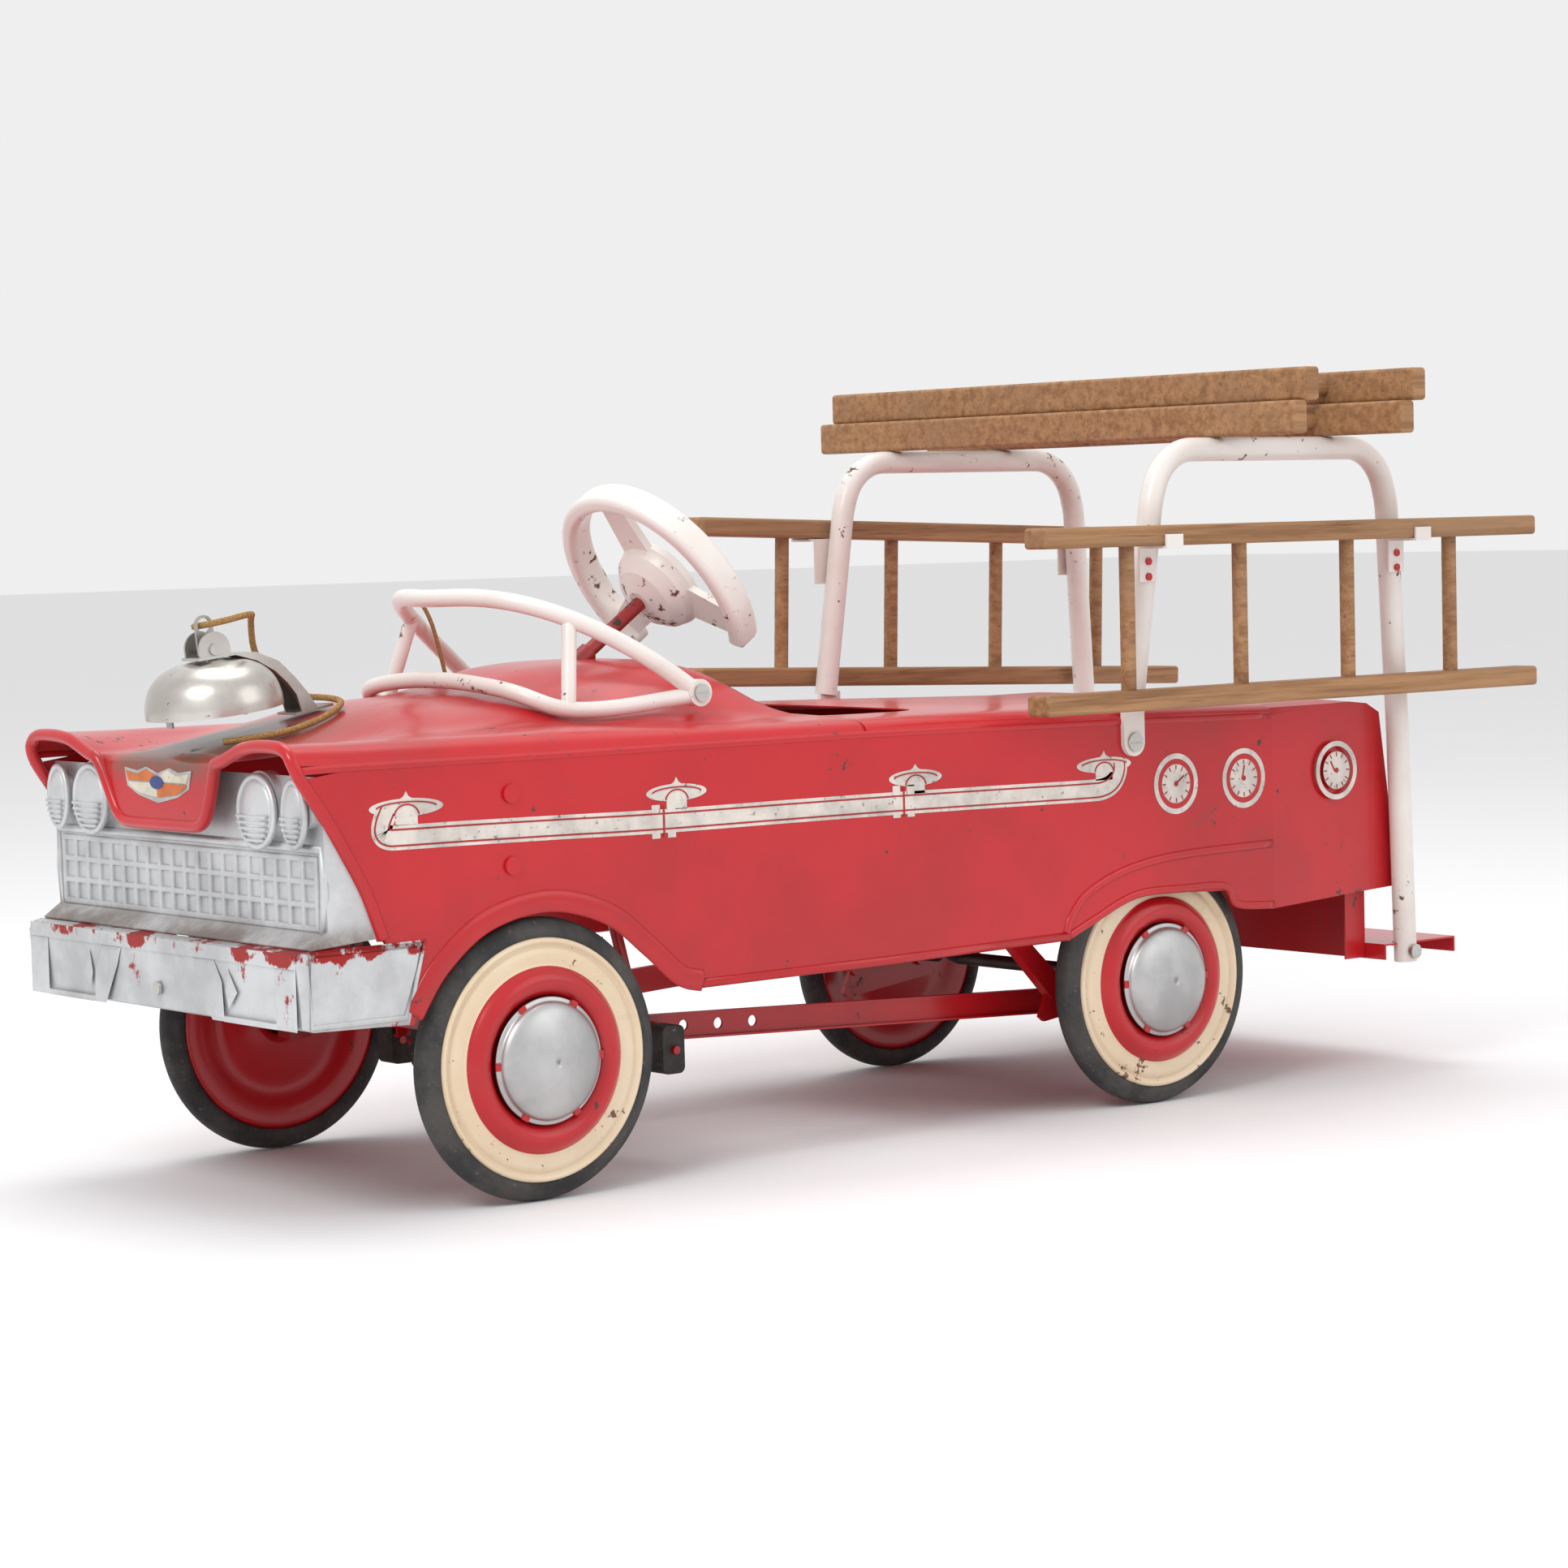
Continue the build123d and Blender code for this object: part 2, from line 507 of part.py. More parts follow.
def make_steering():
    """Steering wheel open towards the driver, its nut, the column, spindles and tie rod."""
    arc = CenterArc((0, 0), RIM_R, 90 - RIM_SWEEP / 2, RIM_SWEEP)
    start = arc @ 0
    rim_plane = Plane(origin=start, x_dir=start - Vector(0, 0, 0), z_dir=arc % 0)
    wheel = sweep(rim_plane * RectangleRounded(14, 24, 5.5), path=arc)
    for end in (0, 1):
        wheel += Pos(*(arc @ end)) * Cylinder(7, 13)
    bowl = [(0, 7), (37, 7), (37.5, 1), (34, -8), (25, -17), (10, -23), (0, -23)]
    wheel += revolve(Plane.XZ * make_face(Polyline(*bowl, close=True)), Axis.Z, 360)
    for angle in (90, 90 - 118, 90 + 118):
        turn = radians(angle)
        ray, across = (cos(turn), sin(turn)), (-sin(turn), cos(turn))
        corners = [(30, 15), (RIM_R, 11), (RIM_R, -11), (30, -15)]
        outline = [(a * ray[0] + b * across[0], a * ray[1] + b * across[1]) for a, b in corners]
        wheel += slab_z(outline, -2, 4)
    wheel -= Cylinder(COLUMN_R, 90)
    place = Plane(origin=steering_point(28), x_dir=(-1, 0, 0), z_dir=across_steering(0).z_dir)
    keep("steering_wheel", place * wheel)
    keep("steering_nut", place * Pos(0, 0, 7.1) * (Cylinder(12, 1.5, align=LOW) + Cylinder(8, 8, align=LOW)
                                                    - Cylinder(COLUMN_R, 30)))

    column = rod(steering_point(42), steering_point(-COLUMN_END), COLUMN_R)
    column += rod(steering_point(-ARM_ALONG), steering_point(-ARM_ALONG, DROP_ARM + 4), 4.5)
    column += rod(steering_point(-COLUMN_END + 21), steering_point(-COLUMN_END + 25), 8.5)
    keep("steering_column", column)
    bush = rod(steering_point(-72), steering_point(-56), BUSH_R - 0.02)
    keep("column_bush", bush - rod(steering_point(-90), steering_point(-40), COLUMN_R + RUN))

    beam = block(-158, 158, -9, 9, 110, 122)
    for side in (1, -1):
        beam -= rod((side * KINGPIN_X, 0, 100), (side * KINGPIN_X, 0, 130), KINGPIN_R + RUN)
        beam += block(*sorted((side * 56, side * 60)), -7, 7, 122, 300)
        beam += block(*sorted((side * 56, side * 76)), -7, 7, 298, 300)
    near, far = -COLUMN_END + 6, -COLUMN_END + 20
    ring = rod(steering_point(near), steering_point(far), 11)
    mid = steering_point((near + far) / 2)
    post = slab_x([(mid[1] - 9, mid[2] - 4), (mid[1] + 4, mid[2] - 8), (7, 118), (-7, 118)], -2, 2)
    beam += ring + post
    keep("front_axle_beam", beam - rod(steering_point(-COLUMN_END - 9), steering_point(-200), COLUMN_R + RUN))

    x = KINGPIN_X
    left = block(x - 9, x + 9, -9, 9, 88, 109.8) + rod((x, 0, 95), (x, 0, TIE_Z - 3), KINGPIN_R)
    left += rod((x, 0, 122.2), (x, 0, 126), 7)
    left += rod((x, 0, AXLE_Z), (FRONT_FACE_X - 3, 0, AXLE_Z), STUB_R)
    left += rod((x + 9, 0, AXLE_Z), (FRONT_FACE_X - TYRE_W + 2.4, 0, AXLE_Z), 10)
    arm = block(x - 7, x + 7, -7, STEER_ARM + 12, TIE_Z - 8, TIE_Z - 4)
    arm -= block(x - 3.4, x + 3.4, STEER_ARM - 3.5, STEER_ARM + 7, TIE_Z - 20, TIE_Z)
    left += arm
    keep("left_spindle", left)
    keep("right_spindle", mirrored(left))

    bar = rod((-x - 4, STEER_ARM, TIE_Z), (x + 4, STEER_ARM, TIE_Z), 3.5)
    for side in (1, -1):
        bar += rod((side * x, STEER_ARM, TIE_Z - 12), (side * x, STEER_ARM, TIE_Z), 3.0)
    fork = block(-FORK_GAP - 3, FORK_GAP + 3, 5.5, 10, -5, 5)
    for side in (1, -1):
        fork += block(*sorted((side * FORK_GAP, side * (FORK_GAP + 3))), -2, 10, -5, 5)
    fork_plane = Plane(origin=steering_point(-ARM_ALONG, DROP_ARM), x_dir=(1, 0, 0), z_dir=across_steering(0).z_dir)
    low = steering_point(-ARM_ALONG, DROP_ARM + 9)
    bar += fork_plane * fork + rod((0, low[1], low[2]), (0, STEER_ARM, TIE_Z), 4)
    keep("tie_rod", bar)


# ---------------------------------------------------------------- wheels
def make_wheel(prefix, face_x, y, bore, side):
    """Tyre, disc and hubcap of one wheel, built on +X and mirrored for the right side."""
    mid = face_x - TYRE_W / 2
    w = TYRE_W / 2
    tyre = [(mid - w + 1, WALL_R - 3), (mid + w - 1, WALL_R - 3), (mid + w, WALL_R), (mid + w - 0.5, 93), (mid + w - 4, 98.5),
            (mid + w - 8, WHEEL_R), (mid - w + 8, WHEEL_R), (mid - w + 4, 98.5), (mid - w + 0.5, 93), (mid - w, WALL_R)]
    outer = [(mid + w - 4, WALL_R - 3.05), (mid + w, 80), (mid + w + 2, 76), (mid + w + 1, 66), (mid + w + 8, 60),
             (mid + w + 8, 50), (mid + w + 4, CAP_R), (mid + w - 6, 20), (mid + w - 6, bore + RUN)]
    inner = [(mid - w + 3, bore + RUN), (mid - w + 3, 17), (mid + w - 8, 20), (mid + w + 2.5, CAP_R), (mid + w + 6.3, 51),
             (mid + w + 6.3, 59), (mid + w - 0.5, 65), (mid - w + 2, 72), (mid - w + 2, WALL_R - 3.05)]
    cap = [(mid + w + 5.6, CAP_R), (mid + w + 9, 41), (mid + w + 8, 38.5), (mid + w + 14, 30), (mid + w + 18, 18), (mid + w + 19.5, 0),
           (mid + w + 18.3, 0), (mid + w + 16.8, 17.5), (mid + w + 13, 29.4), (mid + w + 6.6, 38), (mid + w + 5, CAP_R - 2)]
    pieces = {"tyre": tyre, "disc": outer + inner, "hubcap": cap}
    for kind, profile in pieces.items():
        shape = spun_about_x(profile, y, AXLE_Z)
        keep(f"{prefix}_{kind}", shape if side == 1 else mirrored(shape))


def make_wheels():
    """All four wheels."""
    for end, face_x, y, bore in (("front", FRONT_FACE_X, 0, STUB_R), ("rear", REAR_FACE_X, WHEELBASE, AXLE_R)):
        for name, side in (("left", 1), ("right", -1)):
            fit = bore - RUN if (end, name) == ("rear", "left") else bore
            make_wheel(f"{end}_{name}", face_x, y, fit, side)


# ---------------------------------------------------------------- drive
def crank_pin(side):
    """Middle of a crank pin, (y, z)."""
    a = radians(CRANK_ANGLE)
    return (WHEELBASE + side * THROW * cos(a), AXLE_Z + side * THROW * sin(a))


def strap_front(side):
    """Pivot at the front of a drive strap, on the arc that its pedal arm swings."""
    pin_y, pin_z = crank_pin(side)
    reach = degrees(atan2(pin_z - HANGER_Z, pin_y - HANGER_Y))
    span = hypot(pin_y - HANGER_Y, pin_z - HANGER_Z)
    swing = degrees(acos((ARM_LEN ** 2 + span ** 2 - STRAP_LEN ** 2) / (2 * ARM_LEN * span)))
    a = radians(reach - swing)
    return (HANGER_Y + ARM_LEN * cos(a), HANGER_Z + ARM_LEN * sin(a))


def make_drive():
    """Crank axle, hangers, straps, pedal arms and pedals."""
    web = 14.0
    end = REAR_FACE_X - 2
    axle = rod((-end, WHEELBASE, AXLE_Z), (-STRAP_X - web, WHEELBASE, AXLE_Z), AXLE_R)
    axle += rod((STRAP_X + web, WHEELBASE, AXLE_Z), (end, WHEELBASE, AXLE_Z), AXLE_R)
    axle += rod((-STRAP_X + web, WHEELBASE, AXLE_Z), (STRAP_X - web, WHEELBASE, AXLE_Z), AXLE_R)
    for side in (1, -1):
        y, z = crank_pin(side)
        for x in (side * STRAP_X - web, side * STRAP_X + web):
            axle += rod((x, WHEELBASE, AXLE_Z), (x, y, z), AXLE_R)
            axle += Pos(x, WHEELBASE, AXLE_Z) * Sphere(AXLE_R) + Pos(x, y, z) * Sphere(AXLE_R)
        axle += rod((side * STRAP_X - web, y, z), (side * STRAP_X + web, y, z), AXLE_R)
    keep("rear_crank_axle", axle)

    plate = [(523, 74), (528, 70), (622, 82), (626, 92), (626, 112), (612, 118), (532, 95)]
    brace = [(426, SEAT_Z - 2.5), (440, SEAT_Z - 2.5), (551, 97), (534, 88)]
    stay = [(598, SEAT_Z - 2.5), (616, SEAT_Z - 2.5), (622, 112), (602, 108)]
    hanger = slab_x(plate, BEARING_X - 2, BEARING_X + 2) + slab_x(brace, BEARING_X - 5, BEARING_X + 5)
    hanger += slab_x(stay, BEARING_X - 5, BEARING_X + 5)
    hanger += rod((BEARING_X - 6, WHEELBASE, AXLE_Z), (BEARING_X + 6, WHEELBASE, AXLE_Z), 10)
    hanger -= rod((BEARING_X - 20, WHEELBASE, AXLE_Z), (BEARING_X + 20, WHEELBASE, AXLE_Z), AXLE_R + RUN)
    keep("rear_axle_hangers", Compound([hanger, mirrored(hanger)]))

    reach = BODY_X - SHEET - 0.2
    keep("pedal_hanger", rod((-reach, HANGER_Y, HANGER_Z), (reach, HANGER_Y, HANGER_Z), HANGER_R))
    for name, side in (("left", 1), ("right", -1)):
        make_strap(name, side)
        make_pedal(name, side)


def make_strap(name, side):
    """Drive strap: a channel from the pedal arm's pivot to the crank throw."""
    y0, z0 = strap_front(side)
    y1, z1 = crank_pin(side)
    half, long = 10.0, STRAP_LEN
    strap = block(-1, 1, -14, long + 10, -half, half)
    for low in (-half, half - 1.5):
        strap += block(-1, 5, -14, long - 14, low, low + 1.5)
    for hole_y in (0, 33, 66, 99):
        strap -= rod((-5, hole_y, 0), (9, hole_y, 0), 4.2)
    strap += rod((-4, long, 0), (4, long, 0), half)
    strap -= rod((-9, long, 0), (9, long, 0), AXLE_R + RUN)
    placed = Location((STRAP_X, y0, z0), (degrees(atan2(z1 - z0, y1 - y0)), 0, 0)) * strap
    keep(f"{name}_drive_strap", placed if side == 1 else mirrored(placed))


def make_pedal(name, side):
    """Pedal arm hung on the hanger rod, and the two halves of its block, with the strap between them."""
    y0, z0 = strap_front(side)
    down = ((y0 - HANGER_Y) / ARM_LEN, (z0 - HANGER_Z) / ARM_LEN)
    pedal = (y0 + down[0] * PEDAL_DROP, z0 + down[1] * PEDAL_DROP)
    x = ARM_X
    arm = rod((x, HANGER_Y, HANGER_Z), (x, *pedal), 4.5)
    arm += rod((x - 6, HANGER_Y, HANGER_Z), (x + 6, HANGER_Y, HANGER_Z), 8)
    arm -= rod((x - 9, HANGER_Y, HANGER_Z), (x + 9, HANGER_Y, HANGER_Z), HANGER_R + RUN)
    arm += rod((PEDAL_X[0] - 4, *pedal), (STRAP_X - 4, *pedal), 3.0)
    arm += rod((STRAP_X + 7, *pedal), (PEDAL_X[1] + 4, *pedal), 3.0)
    keep(f"{name}_pedal_arm", arm if side == 1 else mirrored(arm))
    pad = block(*PEDAL_X, pedal[0] - 10, pedal[0] + 10, pedal[1] - 18, pedal[1] + 18)
    pad = fillet(pad.edges().filter_by(Axis.X), 5)
    pad -= block(x - 7.5, STRAP_X + 7, pedal[0] - 20, pedal[0] + 20, pedal[1] - 30, pedal[1] + 30)
    pad -= rod((PEDAL_X[0] - 2, *pedal), (PEDAL_X[1] + 2, *pedal), 3.0 + RUN)
    keep(f"{name}_pedal", pad if side == 1 else mirrored(pad))


# ---------------------------------------------------------------- fasteners
def make_fasteners():
    """Slotted screws, bolts and rivets, each kind in one node."""
    screws, bolts, rivets = [], [], []

    def slotted(x, y, z, radius):
        head = rod((x, y, z), (x + 2.2, y, z), radius)
        return head - block(x + 1.2, x + 3, y - 20, y + 20, z - 0.7, z + 0.7)

    for build in (lambda s: s, mirrored):
        screws.append(build(slotted(LOBE_X + 0.1, *LOBE_AT, 6.5)))
        screws.append(build(slotted(BODY_X + 4.2, 570, 291.7, 7.5)))
        bolts.append(build(rod((HOOP_X + HOOP_R + 0.1, 877, 101), (HOOP_X + HOOP_R + 4, 877, 101), 6)))
        for z in (238, 288):
            rivets.append(build(rod((BODY_X + 0.05, -23, z), (BODY_X + 2.2, -23, z), 6.5)))
        for y in (HOOK_FRONT_Y, HOOK_REAR_Y):
            for z in (HOOK_TOP_Z - 24, HOOK_TOP_Z - 12):
                x = HOOP_X + HOOP_R + 0.1 + HOOK_STRAP
                rivets.append(build(rod((x + 0.05, y, z), (x + 1.5, y, z), 3)))
    bolts.append(rod((0, BUMPER_Y + 0.5, 155), (0, BUMPER_Y - BOLT_PROUD, 155), 5))
    keep("slotted_screws", Compound(screws))
    keep("bolts", Compound(bolts))
    keep("rivets", Compound(rivets))


# ---------------------------------------------------------------- build
BELL_CORD = [(-9, -156, 407), (16, -150, 410), (20, -124, 416), (-8, -110, 412), (-21, -100, 382), (-18, -74, 354),
             (8, -46, 352), (33, -62, 346.5), (50, -98, 336.5), (54, -136, 330), (34, -160, 327)]
TASSEL_CORD = [(-96, 72, 420), (-99, 92, 421), (-101, 104, 408), (-101, 112, 386), (-100, 117, 362)]


def main():
    """Build every piece and write one STEP for each."""
    make_top()
    make_sides()
    make_tail()
    make_front()
    make_inside()
    make_windshield()
    make_bell()
    make_hoops()
    make_ladders()
    make_steering()
    make_wheels()
    make_drive()
    make_fasteners()
    cord("bell_cord", BELL_CORD, CORD_R)
    cord("tassel_cord", TASSEL_CORD, TASSEL_R)
    os.makedirs("parts", exist_ok=True)
    for name, shape in PARTS.items():
        export_step(Pos(0, Y_SHIFT, 0) * shape, os.path.join("parts", f"{name}.step"))


main()
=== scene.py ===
# %% [markdown]
# # A pressed-steel pedal fire engine from the middle of the last century
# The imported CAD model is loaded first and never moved. Everything after it is
# finish and detail, built in metres in the same frame, each piece in its place.
# %% Load the frame
import bpy, bmesh
from math import cos, pi, radians, sin, sqrt
from mathutils import Vector, Matrix
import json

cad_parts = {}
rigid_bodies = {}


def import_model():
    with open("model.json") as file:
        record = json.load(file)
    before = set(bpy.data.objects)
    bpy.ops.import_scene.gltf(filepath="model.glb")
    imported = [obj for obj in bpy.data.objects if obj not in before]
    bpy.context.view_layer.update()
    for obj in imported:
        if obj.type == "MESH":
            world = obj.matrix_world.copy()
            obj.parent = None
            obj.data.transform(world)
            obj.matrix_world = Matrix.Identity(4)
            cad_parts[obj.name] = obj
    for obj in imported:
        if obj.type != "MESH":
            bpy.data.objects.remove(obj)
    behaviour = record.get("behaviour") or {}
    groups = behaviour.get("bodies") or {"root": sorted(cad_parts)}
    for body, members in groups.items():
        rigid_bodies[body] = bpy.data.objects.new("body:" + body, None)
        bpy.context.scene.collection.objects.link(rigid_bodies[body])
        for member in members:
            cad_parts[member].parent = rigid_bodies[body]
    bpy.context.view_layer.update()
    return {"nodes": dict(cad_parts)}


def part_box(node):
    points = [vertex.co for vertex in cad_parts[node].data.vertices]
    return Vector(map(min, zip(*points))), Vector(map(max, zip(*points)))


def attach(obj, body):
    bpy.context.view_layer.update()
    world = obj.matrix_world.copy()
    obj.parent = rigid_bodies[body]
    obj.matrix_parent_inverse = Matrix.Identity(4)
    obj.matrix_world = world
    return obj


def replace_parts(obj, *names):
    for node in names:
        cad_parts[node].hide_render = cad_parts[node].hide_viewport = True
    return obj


for leftover in list(bpy.data.objects):
    bpy.data.objects.remove(leftover)
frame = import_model()

# %% [markdown]
# ## One ruler for the whole car
# The car was measured from its front axle, in millimetres. One function turns
# such a point into metres in the frame, and takes the axle from the tyre's box,
# so that every later cell can use the maker's own numbers.
# %% The ruler
SIDES = ((1, "left"), (-1, "right"))


def placed(name, data):
    """An object in the scene, at the origin, that holds the data."""
    thing = bpy.data.objects.new(name, data)
    bpy.context.scene.collection.objects.link(thing)
    return thing


low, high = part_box("front_left_tyre")
AXLE_Y = (low.y + high.y) / 2
low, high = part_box("rear_left_tyre")
WHEELBASE = round(((low.y + high.y) / 2 - AXLE_Y) * 1000, 1)


def at(x, y, z):
    return Vector((x / 1000, AXLE_Y + y / 1000, z / 1000))


print("front axle at y", round(AXLE_Y, 4), "wheelbase", WHEELBASE)

# %% [markdown]
# ## The camera
# A long lens stands at the left front, a little above the bonnet. Its three
# angles are turned into a matrix directly: the view direction, then the right
# and up of the picture, rolled by a degree and a half.
# %% Set the camera
SWING, PITCH, ROLL = radians(51.276), -0.0658, -0.02486
ahead = Vector((-sin(SWING) * cos(PITCH), cos(SWING) * cos(PITCH), sin(PITCH)))
level_right = ahead.cross(Vector((0, 0, 1))).normalized()
level_up = level_right.cross(ahead)
cam_x = cos(ROLL) * level_right + sin(ROLL) * level_up
cam_y = -sin(ROLL) * level_right + cos(ROLL) * level_up
lens = bpy.data.cameras.new("camera")
lens.sensor_width, lens.lens = 36, 90.61
lens.clip_start, lens.clip_end = 0.1, 100
camera = placed("camera", lens)
camera.matrix_world = Matrix.Translation(at(2427.3, -1578.2, 469.3)) @ Matrix(
    (cam_x, cam_y, -ahead)).transposed().to_4x4()
bpy.context.scene.camera = camera
print("camera at", tuple(round(v, 3) for v in camera.location))

# %% [markdown]
# ## Helpers for meshes
# A piece is a list of points and faces given to bmesh. Normals are recalculated
# once the doubles are merged, so that every closed piece points outwards.
# %% Make a piece from points and faces
def piece(name, points, faces, body, slot, smooth=True, merge=1e-6, outward=True):
    """One mesh object in metres, riding on a body."""
    shape = bmesh.new()
    corners = [shape.verts.new(p) for p in points]
    for face in faces:
        try:
            shape.faces.new([corners[i] for i in face])
        except ValueError:
            pass
    bmesh.ops.remove_doubles(shape, verts=shape.verts, dist=merge)
    if outward:
        bmesh.ops.recalc_face_normals(shape, faces=shape.faces)
    data = bpy.data.meshes.new(name)
    shape.to_mesh(data)
    shape.free()
    for face in data.polygons:
        face.use_smooth = smooth
    thing = placed(name, data)
    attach(thing, body)
    return thing


def soften(thing, width, segments=2, angle=0.6):
    """Round the sharp edges, as paint and pressing do."""
    bevel = thing.modifiers.new("edges", "BEVEL")
    bevel.width, bevel.segments = width / 1000, segments
    bevel.limit_method, bevel.angle_limit = "ANGLE", angle
    return thing


# %% [markdown]
# Most of the car's trim is one section carried along a line: a tube, a rolled
# lip, a painted stripe. The frame at each point is carried on from the one
# before, so the section doesn't twist.
# %% Carry a section along a line
def swept(path, section, closed=False, start_up=None):
    """Points and faces of a section (pairs, in millimetres) along a path of Vectors."""
    count = len(path)
    points, faces = [], []
    up = start_up
    for i, p in enumerate(path):
        before = path[i - 1] if (closed or i) else p
        after = path[(i + 1) % count] if (closed or i < count - 1) else p
        along = (after - before).normalized()
        if up is None:
            up = Vector((0, 0, 1)) if abs(along.z) < 0.9 else Vector((0, 1, 0))
        up = (up - along * up.dot(along)).normalized()
        side = along.cross(up)
        points += [p + (side * a + up * b) / 1000 for a, b in section]
    n = len(section)
    for i in range(count if closed else count - 1):
        for j in range(n):
            a, b = i * n + j, i * n + (j + 1) % n
            c, d = ((i + 1) % count) * n + (j + 1) % n, ((i + 1) % count) * n + j
            faces.append((a, b, c, d))
    if not closed:
        faces.append(tuple(range(n)))
        faces.append(tuple(range((count - 1) * n, count * n)))
    return points, faces


def oval(a, b, sides=12):
    """An oval section with half-widths a and b, in millimetres."""
    return [(a * cos(t), b * sin(t)) for t in round_turn(sides)]


def curve_through(points, steps=6, closed=False):
    """A Catmull-Rom line through the points."""
    line, n = [], len(points)
    for i in range(n if closed else n - 1):
        if closed:
            p0, p1, p2, p3 = (points[(i + k) % n] for k in (-1, 0, 1, 2))
        else:
            p0, p1, p2, p3 = (points[max(0, min(n - 1, i + k))] for k in (-1, 0, 1, 2))
        for s in range(steps):
            t = s / steps
            line.append(0.5 * (2 * p1 + (p2 - p0) * t + (2 * p0 - 5 * p1 + 4 * p2 - p3) * t ** 2
                               + (3 * p1 - p0 - 3 * p2 + p3) * t ** 3))
    return line if closed else line + [points[-1]]


def joined(*parts):
    """Several (points, faces) as one."""
    points, faces = [], []
    for some_points, some_faces in parts:
        shift = len(points)
        points += some_points
        faces += [tuple(i + shift for i in face) for face in some_faces]
    return points, faces


def slab(front, back):
    """A closed slab between two outlines with the same number of points."""
    n = len(front)
    faces = [tuple(range(n)), tuple(range(2 * n - 1, n - 1, -1))]
    faces += [(i, i + n, (i + 1) % n + n, (i + 1) % n) for i in range(n)]
    return front + back, faces


def round_turn(steps):
    """Angles for one turn."""
    return [2 * pi * k / steps for k in range(steps)]


print("sweep, join and slab helpers ready")

# %% [markdown]
# ## The cords
# A limp braided cord is tied through the bell's clapper lever and lies in a loose
# loop over the bonnet, and a thin tassel hangs from the windshield. Each follows
# one NURBS line through its own points; the strands are then wound round points
# read from that line.
# %% The lines that the cords follow
BELL_CORD = [(-9, -156, 407), (16, -150, 410), (20, -124, 416), (-8, -110, 412),
             (-21, -100, 382), (-18, -74, 354), (8, -46, 352), (33, -62, 346.5),
             (50, -98, 336.5), (54, -136, 330), (34, -160, 327)]
TASSEL_CORD = [(-96, 72, 420), (-99, 92, 421), (-101, 104, 408), (-101, 112, 386),
               (-100, 117, 362)]


def smooth_line(route):
    """Points read from a NURBS curve that has the route as its control points."""
    curve = bpy.data.curves.new("route", "CURVE")
    curve.dimensions = "3D"
    spline = curve.splines.new("NURBS")
    spline.points.add(len(route) - 1)
    for point, place in zip(spline.points, route):
        point.co = (*at(*place), 1)
    spline.order_u = 3
    spline.use_endpoint_u = True
    spline.resolution_u = 12
    holder = placed("route", curve)
    bpy.context.view_layer.update()
    data = bpy.data.meshes.new_from_object(
        holder.evaluated_get(bpy.context.evaluated_depsgraph_get()))
    line = [v.co.copy() for v in data.vertices]
    bpy.data.objects.remove(holder)
    bpy.data.meshes.remove(data)
    return line


def length_of(line):
    return sum((b - a).length for a, b in zip(line, line[1:]))


def evenly(line, gap):
    """The line's points again, a gap apart."""
    places, carried = [line[0]], 0.0
    for a, b in zip(line, line[1:]):
        span = (b - a).length
        while carried + span >= gap:
            a = a.lerp(b, (gap - carried) / span)
            span = (b - a).length
            carried = 0.0
            places.append(a)
        carried += span
    if (places[-1] - line[-1]).length > gap / 4:
        places.append(line[-1])
    return places


# %% Wind the strands
def wound(line, radius, strands, turn, sides=8):
    """Strands laid round the line: strand radius is what fills the cord's radius."""
    strand = radius / (1 + 1 / sin(pi / strands)) if strands > 1 else radius
    walk = evenly(line, turn / 10)
    up, frames = None, []
    for i, p in enumerate(walk):
        along = (walk[min(i + 1, len(walk) - 1)] - walk[max(i - 1, 0)]).normalized()
        if up is None:
            up = Vector((0.3, 0.2, 1))
        up = (up - along * up.dot(along)).normalized()
        frames.append((p, up.copy(), along.cross(up)))
    parts = []
    for k in range(strands):
        path = []
        for i, (p, u, s) in enumerate(frames):
            phase = 2 * pi * (i / 10 + k / strands)
            path.append(p + (radius - strand) * (cos(phase) * u + sin(phase) * s))
        fat = strand * 1000 * 1.2
        parts.append(swept(path, oval(fat, fat, sides)))
    return joined(*parts), walk


def free_cord(name, route, radius, cad_node):
    line = smooth_line(route)
    (points, faces), walk = wound(line, radius / 1000, 6, 0.0125)
    thing = piece(name, points, faces, "body", "cord_cotton", merge=1e-9)
    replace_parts(thing, cad_node)
    length_of(line)
    print(name, round(length_of(line), 4), "m long")
    return thing


bell_line = free_cord("bell_pull_cord", BELL_CORD, 2.3, "bell_cord")
tassel_line = free_cord("windshield_tassel", TASSEL_CORD, 1.6, "tassel_cord")

# %% [markdown]
# ## Shader maths as Python
# A finish is a material with one Principled shader. Reading wraps a socket that
# carries a number, so `1 - worn * 0.5` adds its Math nodes by itself. Colours go
# through a Mix node, because a Math node would turn them grey.
# %% A socket with arithmetic
class Reading:
    def __init__(self, finish, socket):
        self.finish, self.socket = finish, socket

    def _maths(self, operation, first, second):
        return self.finish.node("ShaderNodeMath", {"operation": operation},
                                {0: first, 1: second})

    def __add__(self, other):
        return self._maths("ADD", self, other)

    def __sub__(self, other):
        return self._maths("SUBTRACT", self, other)

    def __rsub__(self, other):
        return self._maths("SUBTRACT", other, self)

    def __mul__(self, other):
        return self._maths("MULTIPLY", self, other)

    __radd__, __rmul__ = __add__, __mul__

    def over(self, low, high):
        """0 below low, 1 above high, smooth between."""
        return self.finish.node(
            "ShaderNodeMapRange", {"interpolation_type": "SMOOTHSTEP"},
            {"Value": self, "From Min": low, "From Max": high})


